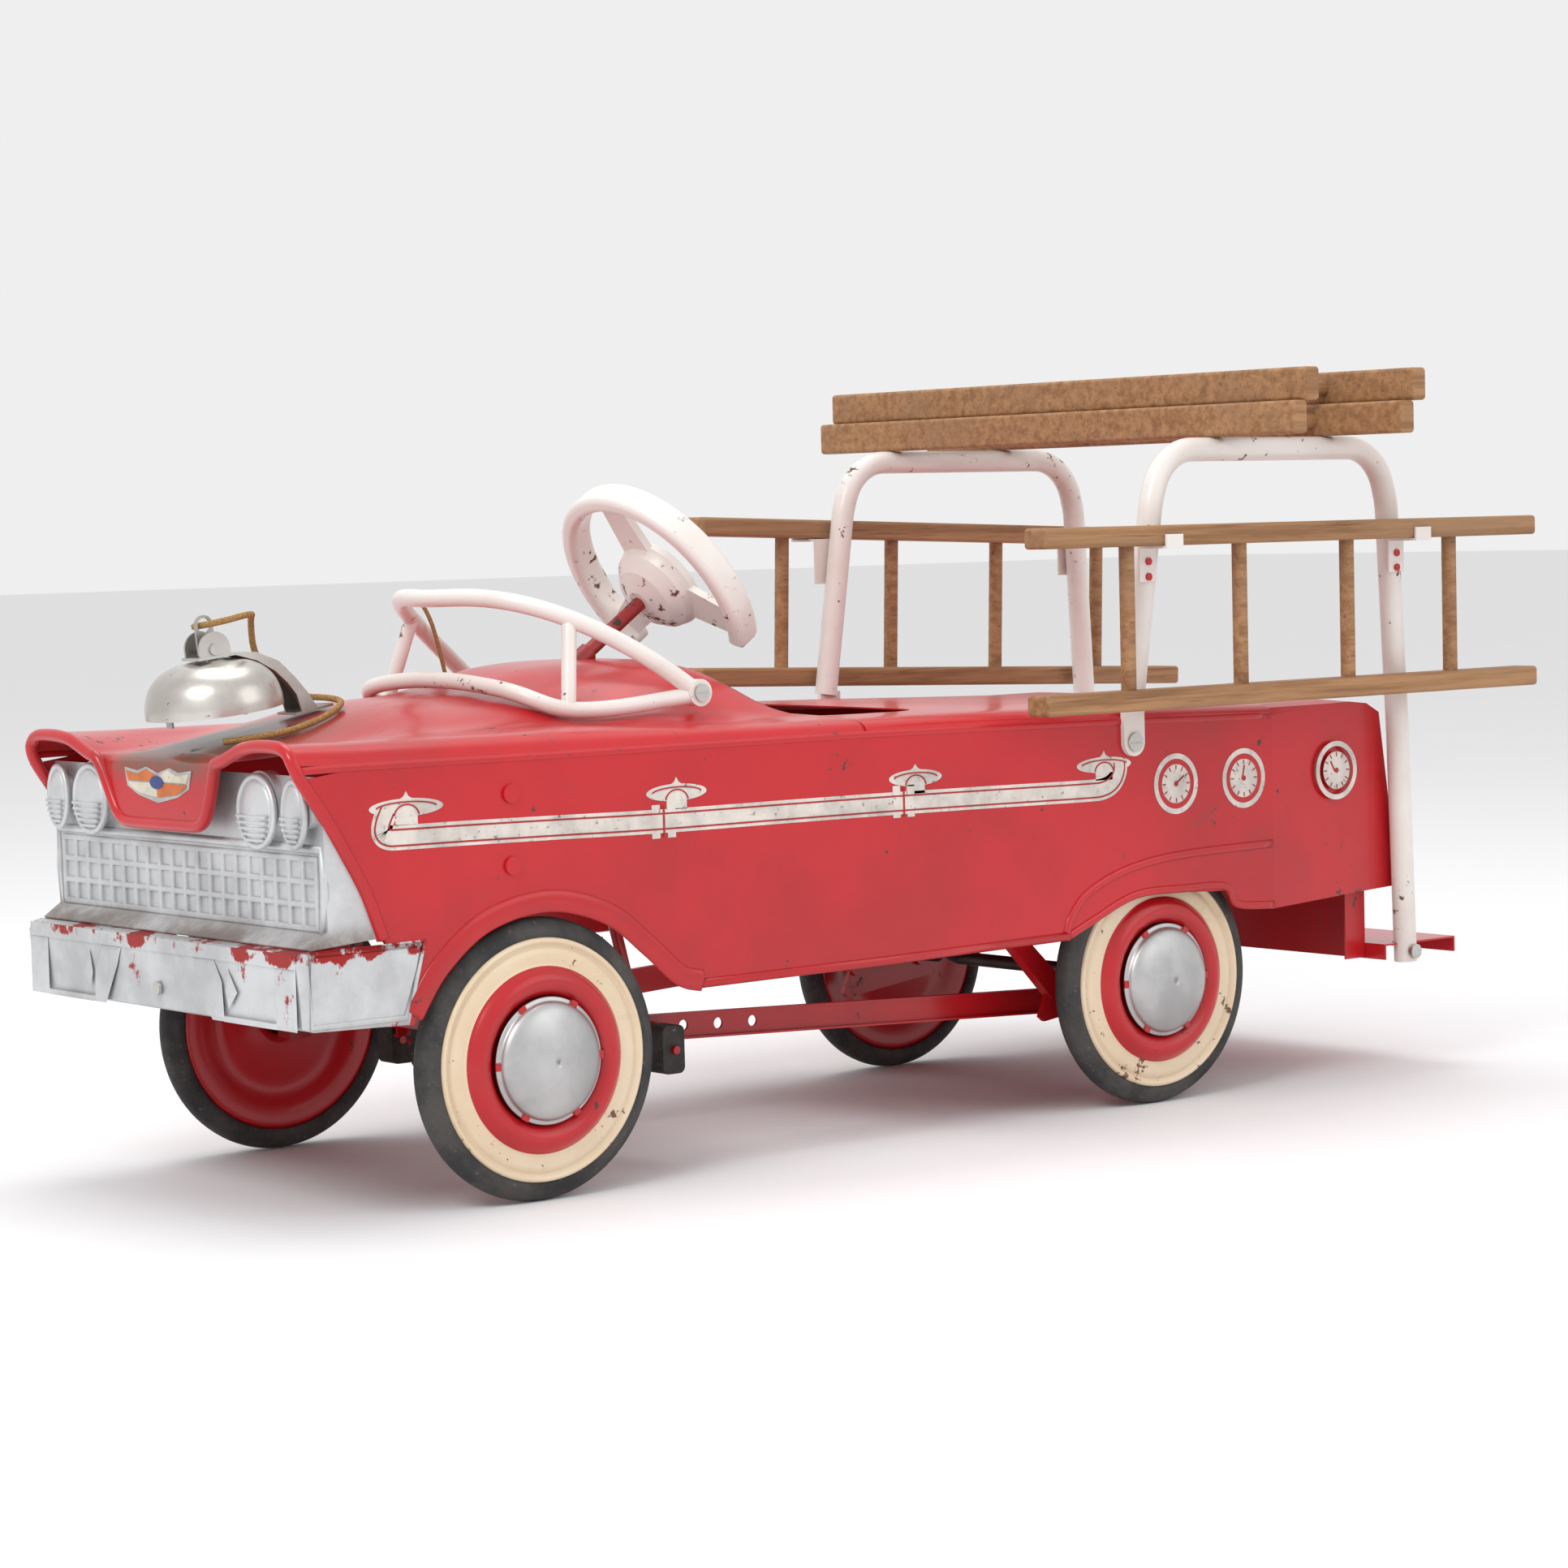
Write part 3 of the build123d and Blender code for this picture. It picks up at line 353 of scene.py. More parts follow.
# %% A finish with its nodes
class Finish:
    def __init__(self, name, **settings):
        self.material = bpy.data.materials.new(name)
        self.material.use_nodes = True
        self.tree = self.material.node_tree
        self.shader = self.tree.nodes["Principled BSDF"]
        for key, value in settings.items():
            self.feed(self.shader.inputs[key.replace("_", " ")], value)
        self.place = self.node("ShaderNodeTexCoord", out="Object")

    def feed(self, socket, value):
        if isinstance(value, Reading):
            self.tree.links.new(value.socket, socket)
        elif isinstance(value, tuple) and len(value) == 3 and socket.type == "RGBA":
            socket.default_value = (*value, 1)
        else:
            socket.default_value = value

    def node(self, kind, settings=None, values=None, out=0):
        made = self.tree.nodes.new(kind)
        for key, value in (settings or {}).items():
            if key == "stops":
                stops = made.color_ramp.elements
                while len(stops) < len(value):
                    stops.new(0.5)
                for stop, (position, colour) in zip(stops, value):
                    stop.position, stop.color = position, (*colour, 1)
            else:
                setattr(made, key, value)
        for key, value in (values or {}).items():
            self.feed(made.inputs[key], value)
        return Reading(self, made.outputs[out])

    def moved(self, shift=(0, 0, 0), stretch=(1, 1, 1), turn=(0, 0, 0)):
        return self.node("ShaderNodeMapping", None, {
            "Vector": self.place, "Location": shift, "Rotation": turn, "Scale": stretch})

    def noise(self, scale, detail=4, rough=0.6, shift=(0, 0, 0), stretch=(1, 1, 1)):
        return self.node("ShaderNodeTexNoise", None, {
            "Vector": self.moved(shift, stretch), "Scale": scale, "Detail": detail,
            "Roughness": rough})

    def mix(self, amount, colour, other):
        return self.node("ShaderNodeMix", {"data_type": "RGBA"},
                         {0: amount, 6: colour, 7: other}, out=2)

    def axis(self, which):
        return self.node("ShaderNodeSeparateXYZ", None, {0: self.place}, out=which)

    def wear(self, **sockets):
        for key, value in sockets.items():
            self.feed(self.shader.inputs[key.replace("_", " ")], value)
        return self

    def bump(self, height, strength, depth):
        return self.node("ShaderNodeBump", None, {
            "Height": height, "Strength": strength, "Distance": depth})


print("finish helpers ready")

# %% [markdown]
# ## Red enamel
# Baked enamel is deep and glossy, but eighty years leave it uneven: faded in
# soft clouds, scuffed dull where hands and feet went, and chipped in small dark
# flakes down to old steel. Two noises in Object coordinates make the clouds, and
# a fine one cut off high makes the chips.
# %% Red enamel
def enamel(name, colour, faded, chip, chips=0.67, gloss=0.26, dirt=(0.10, 0.05, 0.04),
           bell_shadow_y=None):
    paint = Finish(name, Coat_Weight=0.25, Coat_Roughness=0.12, Specular_IOR_Level=0.42)
    clouds = paint.noise(5, 5, 0.62)
    fine = paint.noise(95, 6, 0.7, shift=(3, 1, 2))
    scuff = paint.noise(26, 6, 0.75, shift=(7, 2, 5), stretch=(1, 0.55, 1.3))
    flake = (fine * 0.72 + paint.noise(11, 3, 0.5, shift=(1, 9, 4)) * 0.38).over(
        chips, chips + 0.02)
    grime = (scuff * 0.7 + clouds * 0.3).over(0.56, 0.74)
    shade = paint.mix(clouds.over(0.38, 0.66), colour, faded)
    shade = paint.mix(grime * 0.34, shade, dirt)
    # painted shadow under the bell: a dark brown patch on the bonnet's top, in the middle from the
    # nose back past the bell, broken up by noise
    if bell_shadow_y:
        along = paint.axis(1)
        across = paint.node("ShaderNodeMath", {"operation": "ABSOLUTE"}, {0: paint.axis(0)})
        bell_shadow = ((1 - across.over(0.035, 0.095)) * (1 - along.over(bell_shadow_y, bell_shadow_y + 0.10))
                * (clouds * 0.5 + scuff * 0.5).over(0.30, 0.52) * paint.axis(2).over(0.296, 0.312))
        shade = paint.mix(bell_shadow * 0.85, shade, (0.12, 0.075, 0.045))
    shade = paint.mix(flake, shade, chip)
    paint.wear(Base_Color=shade,
               Roughness=gloss + grime * 0.24 + flake * 0.35 + clouds * 0.06,
               Normal=paint.bump(fine * 0.25 + clouds - flake * 0.6, 0.12, 0.0006))
    return paint.material


# the red enamel carries the painted shadow under the bell on the bonnet's front middle
red_enamel = enamel("red enamel", (0.53, 0.008, 0.014), (0.43, 0.008, 0.012),
                    (0.06, 0.035, 0.03), chips=0.69, bell_shadow_y=AXLE_Y - 0.13)
white_enamel = enamel("aged white enamel", (0.80, 0.755, 0.72), (0.71, 0.63, 0.58),
                      (0.15, 0.06, 0.045), chips=0.655, gloss=0.36, dirt=(0.36, 0.26, 0.22))
print("enamels made")

# %% [markdown]
# ## Silver paint
# The radiator panel and the bumper were sprayed with aluminium paint over the
# red. It has worn through on the edges. Low on each part the paint turns a darker,
# rougher brown in noisy patches, mixed in by height as well as by noise.
# %% Silver paint
def silver(name, dark_below_z, worn, edge_z=9.0):
    paint = Finish(name, Metallic=0.55, Specular_IOR_Level=0.5)
    grain = paint.noise(260, 3, 0.6)
    clouds = paint.noise(14, 5, 0.65, shift=(2, 5, 1))
    rub = paint.noise(24, 6, 0.7, shift=(6, 3, 8), stretch=(1, 1, 0.7))
    height = paint.axis(2)
    # darker, rougher brown low on the part, below the given height, in noisy patches
    low_darkening = (1 - (height - dark_below_z).over(-0.002, 0.016)) * clouds.over(0.3, 0.6)
    edge = (height - edge_z).over(-0.004, 0.003) * 0.13
    across = paint.node("ShaderNodeMath", {"operation": "ABSOLUTE"}, {0: paint.axis(0)})
    corner = across.over(0.150, 0.168) * 0.07
    through = (rub + edge + (corner if edge_z < 1 else 0.0)).over(worn, worn + 0.04)
    shade = paint.mix(clouds.over(0.35, 0.7), (0.64, 0.65, 0.66), (0.47, 0.475, 0.48))
    shade = paint.mix(low_darkening * 0.7, shade, (0.16, 0.105, 0.07))
    shade = paint.mix(through, shade, (0.36, 0.022, 0.02))
    paint.wear(Base_Color=shade, Roughness=0.36 + clouds * 0.2 + low_darkening * 0.3,
               Normal=paint.bump(grain * 0.3 + rub, 0.12, 0.0004))
    return paint.material


grille_silver = silver("silver panel paint", 0.196, 0.69)
bumper_silver = silver("silver bumper paint", 0.128, 0.64, edge_z=0.184)

# %% [markdown]
# ## Plated and bare metal
# Screws, the bell and its strap were plated. The plating is brushed, has dulled,
# and lets rust through in specks. One recipe with other colours does for all.
# %% Metals
def metal(name, colour, dull, rust_from, rough, specks=150):
    plate = Finish(name, Metallic=1.0)
    brushed = plate.noise(60, 5, 0.7, stretch=(1, 1, 9))
    speck = plate.noise(specks, 5, 0.7, shift=(4, 4, 1)).over(rust_from, rust_from + 0.05)
    clouds = plate.noise(18, 4, 0.6, shift=(8, 0, 3))
    shade = plate.mix(clouds.over(0.35, 0.7), colour, dull)
    shade = plate.mix(speck, shade, (0.15, 0.06, 0.03))
    plate.wear(Base_Color=shade, Roughness=rough + clouds * 0.18 + speck * 0.4,
               Metallic=1 - speck * 0.9,
               Normal=plate.bump(brushed + speck * 0.4, 0.10, 0.0003))
    return plate.material


plated_steel = metal("galvanised steel", (0.58, 0.57, 0.54), (0.40, 0.38, 0.35), 0.66, 0.34)
bell_nickel = metal("bell nickel", (0.72, 0.69, 0.64), (0.52, 0.49, 0.45), 0.64, 0.20, 210)
hub_aluminium = metal("dull hub aluminium", (0.56, 0.56, 0.56), (0.42, 0.42, 0.42), 0.72, 0.33)
crank_steel = metal("dark oily steel", (0.12, 0.11, 0.10), (0.07, 0.06, 0.055), 0.62, 0.45)
print("metals made")

# %% [markdown]
# ## Rubber, wood, cotton and the cream wheel paint
# Rubber is grey with dust caught in it. Ladder wood has grain that runs along
# the rail, so its noise is stretched hard along y. Cotton is matt.
# %% The other finishes
def rubber(name, colour, dust):
    skin = Finish(name, Specular_IOR_Level=0.35)
    clouds = skin.noise(20, 5, 0.65)
    pit = skin.noise(240, 4, 0.7, shift=(5, 1, 1))
    shade = skin.mix(clouds.over(0.36, 0.68), colour, dust)
    shade = skin.mix(pit.over(0.60, 0.75) * 0.5, shade, (0.30, 0.27, 0.23))
    skin.wear(Base_Color=shade, Roughness=0.62 + clouds * 0.25,
              Normal=skin.bump(pit + clouds * 0.5, 0.25, 0.0005))
    return skin.material


tyre_rubber = rubber("dusty tyre rubber", (0.028, 0.028, 0.029), (0.075, 0.07, 0.066))
pedal_rubber = rubber("pedal rubber", (0.03, 0.028, 0.027), (0.07, 0.065, 0.06))

wood = Finish("weathered ladder wood", Specular_IOR_Level=0.3)
grain = wood.noise(130, 7, 0.75, stretch=(1, 0.035, 1))
pores = wood.noise(300, 4, 0.6, stretch=(1, 0.03, 1), shift=(2, 0, 0))
old = wood.noise(16, 4, 0.6, shift=(0, 4, 0), stretch=(1, 0.25, 1))
brown = wood.mix(grain.over(0.34, 0.66), (0.42, 0.225, 0.105), (0.24, 0.115, 0.05))
brown = wood.mix(old.over(0.45, 0.7) * 0.55, brown, (0.30, 0.175, 0.095))
brown = wood.mix(pores.over(0.60, 0.70) * 0.6, brown, (0.11, 0.05, 0.026))
wood.wear(Base_Color=brown, Roughness=0.48 + grain * 0.25,
          Normal=wood.bump(grain * 0.6 + pores, 0.35, 0.0006))
ladder_wood = wood.material

cotton = Finish("tan cotton cord", Roughness=0.95, Specular_IOR_Level=0.15)
fibre = cotton.noise(900, 4, 0.7)
cotton.wear(Base_Color=cotton.mix(fibre.over(0.3, 0.7), (0.50, 0.30, 0.12), (0.22, 0.12, 0.045)),
            Normal=cotton.bump(fibre, 0.6, 0.0004))
cord_cotton = cotton.material
cream_paint = enamel("cream wheel paint", (0.80, 0.66, 0.48), (0.72, 0.56, 0.38),
                     (0.16, 0.07, 0.045), chips=0.66, gloss=0.34, dirt=(0.22, 0.13, 0.08))
rod_red = enamel("dull red rod paint", (0.34, 0.02, 0.018), (0.24, 0.016, 0.014),
                 (0.05, 0.03, 0.026), chips=0.62, gloss=0.42)
print(len(bpy.data.materials), "materials so far")

# %% [markdown]
# ## Dress the CAD nodes
# Nodes whose shape is right keep it and only get a finish. The list says which
# finish each takes; later cells put finer pieces in place of a few of them.
# %% Give each node its finish
DRESS = {
    red_enamel: ("hood_panel", "deck_panel", "tail_cap", "left_side_panel", "right_side_panel",
                 "rear_apron", "rear_step", "seat_pan", "rivets", "left_drive_strap",
                 "right_drive_strap", "left_pedal_arm", "right_pedal_arm", "pedal_hanger",
                 "rear_axle_hangers"),
    rod_red: ("steering_column", "front_axle_beam", "left_spindle", "right_spindle", "tie_rod",
              "column_bush"),
    white_enamel: ("windshield_frame", "steering_wheel", "left_hoop", "right_hoop",
                   "ladder_hooks"),
    plated_steel: ("slotted_screws", "bolts", "bell_bracket", "bell_pin", "bell_lever",
                   "steering_nut"),
    bell_nickel: ("bell_dome",), grille_silver: ("grille_panel",),
    bumper_silver: ("front_bumper",), crank_steel: ("rear_crank_axle",),
    pedal_rubber: ("left_pedal", "right_pedal")}
DRESS[ladder_wood] = tuple(f"{rack}_ladder_{part}" for part in ("rails", "rungs")
                           for rack in ("left", "right", "lower_top", "upper_top"))
dressed = 0
for finish, names in DRESS.items():
    for name in names:
        for holder in frame["nodes"][name].material_slots:
            holder.material = finish
            dressed += 1
print(dressed, "nodes dressed")


def paint(thing, *finishes):
    """Give a new piece its finishes, in the order that its faces name them."""
    for finish in finishes:
        thing.data.materials.append(finish)
    return thing


def trim(name, shape, finish, slot="red_enamel", smooth=True):
    """A painted piece on the body, from (points, faces)."""
    return paint(piece(name, *shape, "body", slot, smooth=smooth), finish)


paint(bell_line, cord_cotton)
paint(tassel_line, cord_cotton)

# %% [markdown]
# ## The wheels
# Each wheel is two steel pressings with a solid tyre between them and a domed
# cap. Spun metal is a profile turned round the axle, so one function turns any
# profile, and the wall, its groove, the cream ring and the convex red middle are
# all one line from the rim to the hub.
# %% Turn a profile round the axle
def turned(profile, side, axle_y, steps=96):
    """profile: (x from the axle's middle, radius) in millimetres, on one side."""
    n = len(profile)
    points = [at(side * x, axle_y + r * cos(a), 100 + r * sin(a))
              for a in round_turn(steps) for x, r in profile]
    faces = [(i * n + j, i * n + (j + 1) % n, (i + 1) % steps * n + (j + 1) % n,
              (i + 1) % steps * n + j) for i in range(steps) for j in range(n)]
    return points, faces


def tyre_profile(face):
    """A solid tyre: rounded tread and a slight bead where the wall pinches it."""
    back = face - 21
    outer = [(face - 3 - 7.5 * (1 - cos(t)), 95.5 + 4.5 * sin(t)) for t in (0, 0.5, 1.0, 1.57)]
    inner = [(back + 3 + 7.5 * (1 - cos(t)), 95.5 + 4.5 * sin(t)) for t in (1.57, 1.0, 0.5, 0)]
    return ([(face - 1.5, 84.5), (face, 87), (face, 91)] + outer + inner
            + [(back, 91), (back, 87), (back + 1.5, 84.5)])


def disc_profile(face):
    """The outer pressing: rolled rim, groove, cream ring, red convex middle."""
    rim = [(face - 4, 85.2), (face - 1, 86), (face + 1.2, 85.4), (face + 2, 83.8),
           (face + 1.4, 82.2), (face - 0.4, 81.2), (face - 1.2, 80), (face - 0.4, 78.8),
           (face + 0.6, 77.8)]
    ring = [(face + 1.0, 74), (face + 1.0, 68.5), (face + 1.2, 66)]
    bulge = [(face + 1 + 7 * sin(t) ** 0.8, 66 - 21 * t / pi) for t in
             [pi * k / 12 for k in range(1, 12)]]
    back = [(face + 1, 44.8), (face - 1.2, 44.8), (face - 1.4, 64), (face - 3.2, 79.4),
            (face - 4, 82)]
    return rim + ring + bulge + back


def inner_profile(face):
    """The inner pressing, with its steps down to the hub."""
    back = face - 21
    return [(back + 2.5, 84.8), (back + 2, 81), (back + 2.2, 79), (back + 3, 66),
            (back + 5.5, 62), (back + 6, 46), (back + 4, 42), (back + 4, 24),
            (back + 3.2, 20), (back + 3.2, 12), (back + 8, 12), (back + 8, 60),
            (back + 5, 82)]


def cap_profile(face):
    """The domed cap with a flat flange."""
    flange = [(face + 5, 44.9), (face + 6.2, 45), (face + 6.6, 44.2), (face + 6.6, 42.6),
              (face + 7.2, 41.8)]
    dome = [(face + 7.2 + 12.2 * sin(t) ** 0.9, 41.8 * cos(t)) for t in
            [pi / 2 * k / 12 for k in range(1, 12)]]
    return flange + dome + [(face + 19.4, 0.4), (face + 17.8, 0.4), (face + 5, 40)]


print("wheel profiles:", len(disc_profile(0)), "points on the outer pressing")

# %% [markdown]
# The cap is held by six small tabs bent out of the red pressing. They repeat
# round a circle, so Geometry Nodes place them: a circle of points, a bar on
# each, turned to face the hub.
# %% A ring of tabs in Geometry Nodes
def new_tree(name, inputs):
    tree = bpy.data.node_groups.new(name, "GeometryNodeTree")
    sockets = {}
    for label, kind, value in inputs:
        made = tree.interface.new_socket(label, in_out="INPUT", socket_type=kind)
        made.default_value = value
        sockets[label] = made.identifier
    tree.interface.new_socket("Geometry", in_out="OUTPUT", socket_type="NodeSocketGeometry")
    return tree, sockets


def run_tree(name, tree, sockets, values):
    """The tree's result as a plain mesh, with the modifier gone."""
    holder = placed(name, bpy.data.meshes.new(name))
    modifier = holder.modifiers.new("build", "NODES")
    modifier.node_group = tree
    for label, value in values.items():
        modifier[sockets[label]] = value
    bpy.context.view_layer.update()
    data = bpy.data.meshes.new_from_object(
        holder.evaluated_get(bpy.context.evaluated_depsgraph_get()))
    holder.modifiers.clear()
    bpy.data.objects.remove(holder)
    points = [v.co.copy() for v in data.vertices]
    faces = [tuple(f.vertices) for f in data.polygons]
    bpy.data.meshes.remove(data)
    return points, faces


def bar_tree(name, finish, around):
    """Bars of a Size: Count of them on a circle of a Radius, or in a row a Step apart."""
    spacing = (("Radius", "NodeSocketFloat", 0.04) if around
               else ("Step", "NodeSocketVector", (0.01, 0, 0)))
    tree, ids = new_tree(name, [("Count", "NodeSocketInt", 6), spacing,
                                ("Size", "NodeSocketVector", (0.01, 0.01, 0.002))])
    n, link = tree.nodes, tree.links.new
    start, end = n.new("NodeGroupInput"), n.new("NodeGroupOutput")
    places = n.new("GeometryNodeMeshCircle" if around else "GeometryNodeMeshLine")
    link(start.outputs["Count"], places.inputs["Vertices" if around else "Count"])
    link(start.outputs[spacing[0]], places.inputs["Radius" if around else "Offset"])
    bar = n.new("GeometryNodeMeshCube")
    link(start.outputs["Size"], bar.inputs["Size"])
    put = n.new("GeometryNodeInstanceOnPoints")
    link(places.outputs[0], put.inputs["Points"])
    link(bar.outputs[0], put.inputs["Instance"])
    if around:
        turn = n.new("FunctionNodeAlignRotationToVector")
        turn.axis = "X"
        link(n.new("GeometryNodeInputPosition").outputs[0], turn.inputs["Vector"])
        link(turn.outputs[0], put.inputs["Rotation"])
    real, dress = n.new("GeometryNodeRealizeInstances"), n.new("GeometryNodeSetMaterial")
    dress.inputs["Material"].default_value = finish
    link(put.outputs[0], real.inputs[0])
    link(real.outputs[0], dress.inputs["Geometry"])
    link(dress.outputs[0], end.inputs[0])
    return tree, ids


RING, RING_IDS = bar_tree("ring of bars", red_enamel, True)
ROW, ROW_IDS = bar_tree("row of bars", grille_silver, False)
print("trees:", [tree.name for tree in bpy.data.node_groups])

# %% Make the four wheels
def make_wheel(place, body, side, axle_y, face):
    """Four pieces: tyre, pressings, cap and its tabs."""
    tyre = piece(f"{place}_solid_tyre", *turned(tyre_profile(face), side, axle_y), body,
                 "tyre_rubber")
    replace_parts(paint(tyre, tyre_rubber), f"{place}_tyre")
    points, faces = joined(turned(disc_profile(face), side, axle_y),
                           turned(inner_profile(face), side, axle_y))
    disc = piece(f"{place}_pressed_disc", points, faces, body, "wheel_cream")
    paint(disc, cream_paint, red_enamel)
    for f in disc.data.polygons:
        middle = f.center * 1000
        radius = sqrt((middle.y - AXLE_Y * 1000 - axle_y) ** 2 + (middle.z - 100) ** 2)
        outer = side * middle.x > face - 6
        f.material_index = 0 if outer and radius > 65.6 else 1
    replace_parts(disc, f"{place}_disc")
    cap = piece(f"{place}_dome_cap", *turned(cap_profile(face), side, axle_y), body,
                "hubcap_metal")
    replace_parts(paint(cap, hub_aluminium), f"{place}_hubcap")
    points, faces = run_tree("tabs", RING, RING_IDS, {
        "Count": 6, "Radius": 0.0437, "Size": (0.0045, 0.0058, 0.0018)})
    centre = at(side * (face + 7.3), axle_y, 100)
    points = [centre + Vector((side * p.z, p.x, p.y)) for p in points]
    tabs = piece(f"{place}_cap_tabs", points, faces, body, "red_enamel", smooth=False)
    paint(soften(tabs, 0.5), red_enamel)


for place, body, side, axle_y, face in (
        ("front_left", "front_left_wheel", 1, 0, 183.5),
        ("front_right", "front_right_wheel", -1, 0, 183.5),
        ("rear_left", "crank", 1, WHEELBASE, 171),
        ("rear_right", "rear_right_wheel", -1, WHEELBASE, 171)):
    make_wheel(place, body, side, axle_y, face)
print("wheels made")

# %% [markdown]
# ## The bonnet
# The top pressing has two high fenders, a valley on each side of a raised
# middle and a scuttle that rises to the windshield. It is a lofted surface, so
# it is worked out from a table of half-sections by the same formula at every
# point: a smooth curve across each section, and another along the car.
# %% Heights of the bonnet
SECTION_X = (0, 40, 75, 90, 105, 120, 135, 150, 170, 180, 185)
HOOD_ROWS = {
    -197: (314, 314, 315.5, 317, 323, 328, 330, 330.5, 330, 325, 317),
    -150: (326, 325, 320, 319, 321.5, 325, 328, 329.5, 328.5, 323, 315),
    -100: (336, 334, 327, 324.5, 324.5, 325.5, 328, 329.5, 328, 322.5, 314.5),
    -40: (347, 345.5, 341, 338, 335, 332, 330, 329.5, 327.5, 322, 314.5),
    45: (353, 352, 348, 345.5, 341, 334, 331, 330, 327, 321.5, 314.5),
    100: (368, 366.5, 359, 352, 342, 331.5, 328, 328, 325.5, 321, 314),
    176: (371, 370, 366, 362, 355, 345, 334, 327, 324.5, 320.5, 314),
    235: (366, 365, 360, 355, 348, 338, 329, 325.5, 323.5, 320, 314),
    300: (335, 334, 331, 329, 327, 325.5, 324.5, 324, 323, 319.5, 313.5)}


def through(stops, values, where):
    """A smooth curve through the values at the stops, read at one place."""
    where = max(stops[0], min(stops[-1], where))
    k = max(i for i in range(len(stops) - 1) if stops[i] <= where)

    def slope(i):
        a, b = max(0, i - 1), min(len(stops) - 1, i + 1)
        return (values[b] - values[a]) / (stops[b] - stops[a])

    span = stops[k + 1] - stops[k]
    t = (where - stops[k]) / span
    return ((2 * t ** 3 - 3 * t * t + 1) * values[k] + (t ** 3 - 2 * t * t + t) * span * slope(k)
            + (3 * t * t - 2 * t ** 3) * values[k + 1] + (t ** 3 - t * t) * span * slope(k + 1))


def hood_z(x, y):
    stops = sorted(HOOD_ROWS)
    return through(stops, [through(SECTION_X, HOOD_ROWS[s], abs(x)) for s in stops], y)


def front_y(x):
    """The front edge steps back over the badge plate."""
    t = max(0, min(1, (abs(x) - 80) / 8))
    return -183 - 14 * t * t * (3 - 2 * t)


def cockpit_y(x):
    """The rounded front of the cockpit opening."""
    return 341.33 - sqrt(147.33 ** 2 - x * x)


print("bonnet height at the screws", round(hood_z(119, 70), 1))

# %% Build the bonnet
def sheet_faces(rows, columns, shift=0):
    return [(shift + r * columns + c, shift + r * columns + c + 1,
             shift + (r + 1) * columns + c + 1, shift + (r + 1) * columns + c)
            for r in range(rows - 1) for c in range(columns - 1)]


ROWS, MID, EDGE = 92, 66, 22
points, faces = [], []
for r in range(ROWS):
    v = r / (ROWS - 1)
    for c in range(MID):
        x = -130 + 260 * c / (MID - 1)
        y = front_y(x) + v * (cockpit_y(x) - front_y(x))
        points.append(at(x, y, hood_z(x, y)))
faces += sheet_faces(ROWS, MID)
for side in (-1, 1):
    shift, tail_rows = len(points), 8
    for r in range(ROWS + tail_rows):
        for c in range(EDGE):
            x = side * (130 + 55 * sin(pi / 2 * c / (EDGE - 1)))
            f = front_y(x)
            y = f + min(1, r / (ROWS - 1)) * (272 - f) + max(0, r - ROWS + 1) * 28 / tail_rows
            points.append(at(x, y, hood_z(x, y)))
    new = sheet_faces(ROWS + tail_rows, EDGE, shift)
    faces += new if side > 0 else [tuple(reversed(f)) for f in new]
bonnet = piece("bonnet_pressing", points, faces, "body", "red_enamel", merge=2e-5,
               outward=False)
skin = bonnet.modifiers.new("sheet", "SOLIDIFY")
skin.thickness, skin.offset = 0.0012, -1
paint(bonnet, red_enamel)
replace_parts(bonnet, "hood_panel")
print("bonnet", len(faces), "faces")

# %% [markdown]
# The front edge of each fender is rolled into a broad soft lip that goes on
# down the side to the bumper. It is one flattened oval carried along the edge.
# %% Rolled front edge
NOSE_EDGE = [(0, -192, 270), (28, -192, 270), (48, -192, 270.6), (57, -192, 273.6),
             (64, -192.3, 281), (71, -193.2, 294), (77, -194.5, 306), (83, -196, 314.5)]
FENDER_EDGE = [(92, -196.4, 317), (105, -196.4, 321.5), (120, -196.4, 326.3),
               (135, -196.4, 328.4), (150, -196.4, 329), (167, -196.4, 328.2),
               (176.5, -196, 324.5), (181.5, -195, 317), (183, -189.5, 305),
               (183.5, -173, 281), (183.5, -158, 256), (183.5, -143, 229), (183.5, -134, 206),
               (183.2, -130, 196)]
half_edge = NOSE_EDGE[1:] + FENDER_EDGE
whole_edge = ([(-x, y, z) for x, y, z in reversed(half_edge)] + [NOSE_EDGE[0]] + half_edge)
edge_line = curve_through([at(*p) for p in whole_edge], 4)
trim("front_rolled_edge", swept(edge_line, oval(4.6, 4.6, 14)), red_enamel)


# %% [markdown]
# Between the fenders the bonnet rolls over into a rounded nose. Each section is
# a short smooth line, over the round and down to the rolled edge; a row of
# sections makes the sheet, and Solidify gives it its thickness.
# %% The rounded nose under the bonnet
def nose_low(x):
    return through([p[0] for p in NOSE_EDGE], [p[2] for p in NOSE_EDGE], abs(x))


def nose_lines(x):
    """The nose's section at x, from the bonnet over the round and down."""
    high, bottom = hood_z(x, -184), nose_low(x)
    drop = max(0.5, high - bottom)
    return [at(x, -178, hood_z(x, -178) + 0.25), at(x, -185, high - 0.4),
            at(x, -190, high - min(3.2, drop * 0.15)), at(x, -192, high - min(8, drop * 0.4)),
            at(x, -192.6, bottom + drop * 0.35), at(x, -192.4, bottom + drop * 0.1),
            at(x, -192, bottom)]


COLS = 61
points = []
for c in range(COLS):
    points += curve_through(nose_lines(-82 + 164 * c / (COLS - 1)), 5)
rows = len(points) // COLS
nose = piece("bonnet_nose", points, sheet_faces(COLS, rows), "body", "red_enamel",
             outward=False)
sheet = nose.modifiers.new("sheet", "SOLIDIFY")
sheet.thickness, sheet.offset = 0.0012, 1
paint(nose, red_enamel)
print("rolled edge", round(length_of(edge_line), 3), "m, nose", len(points), "points")

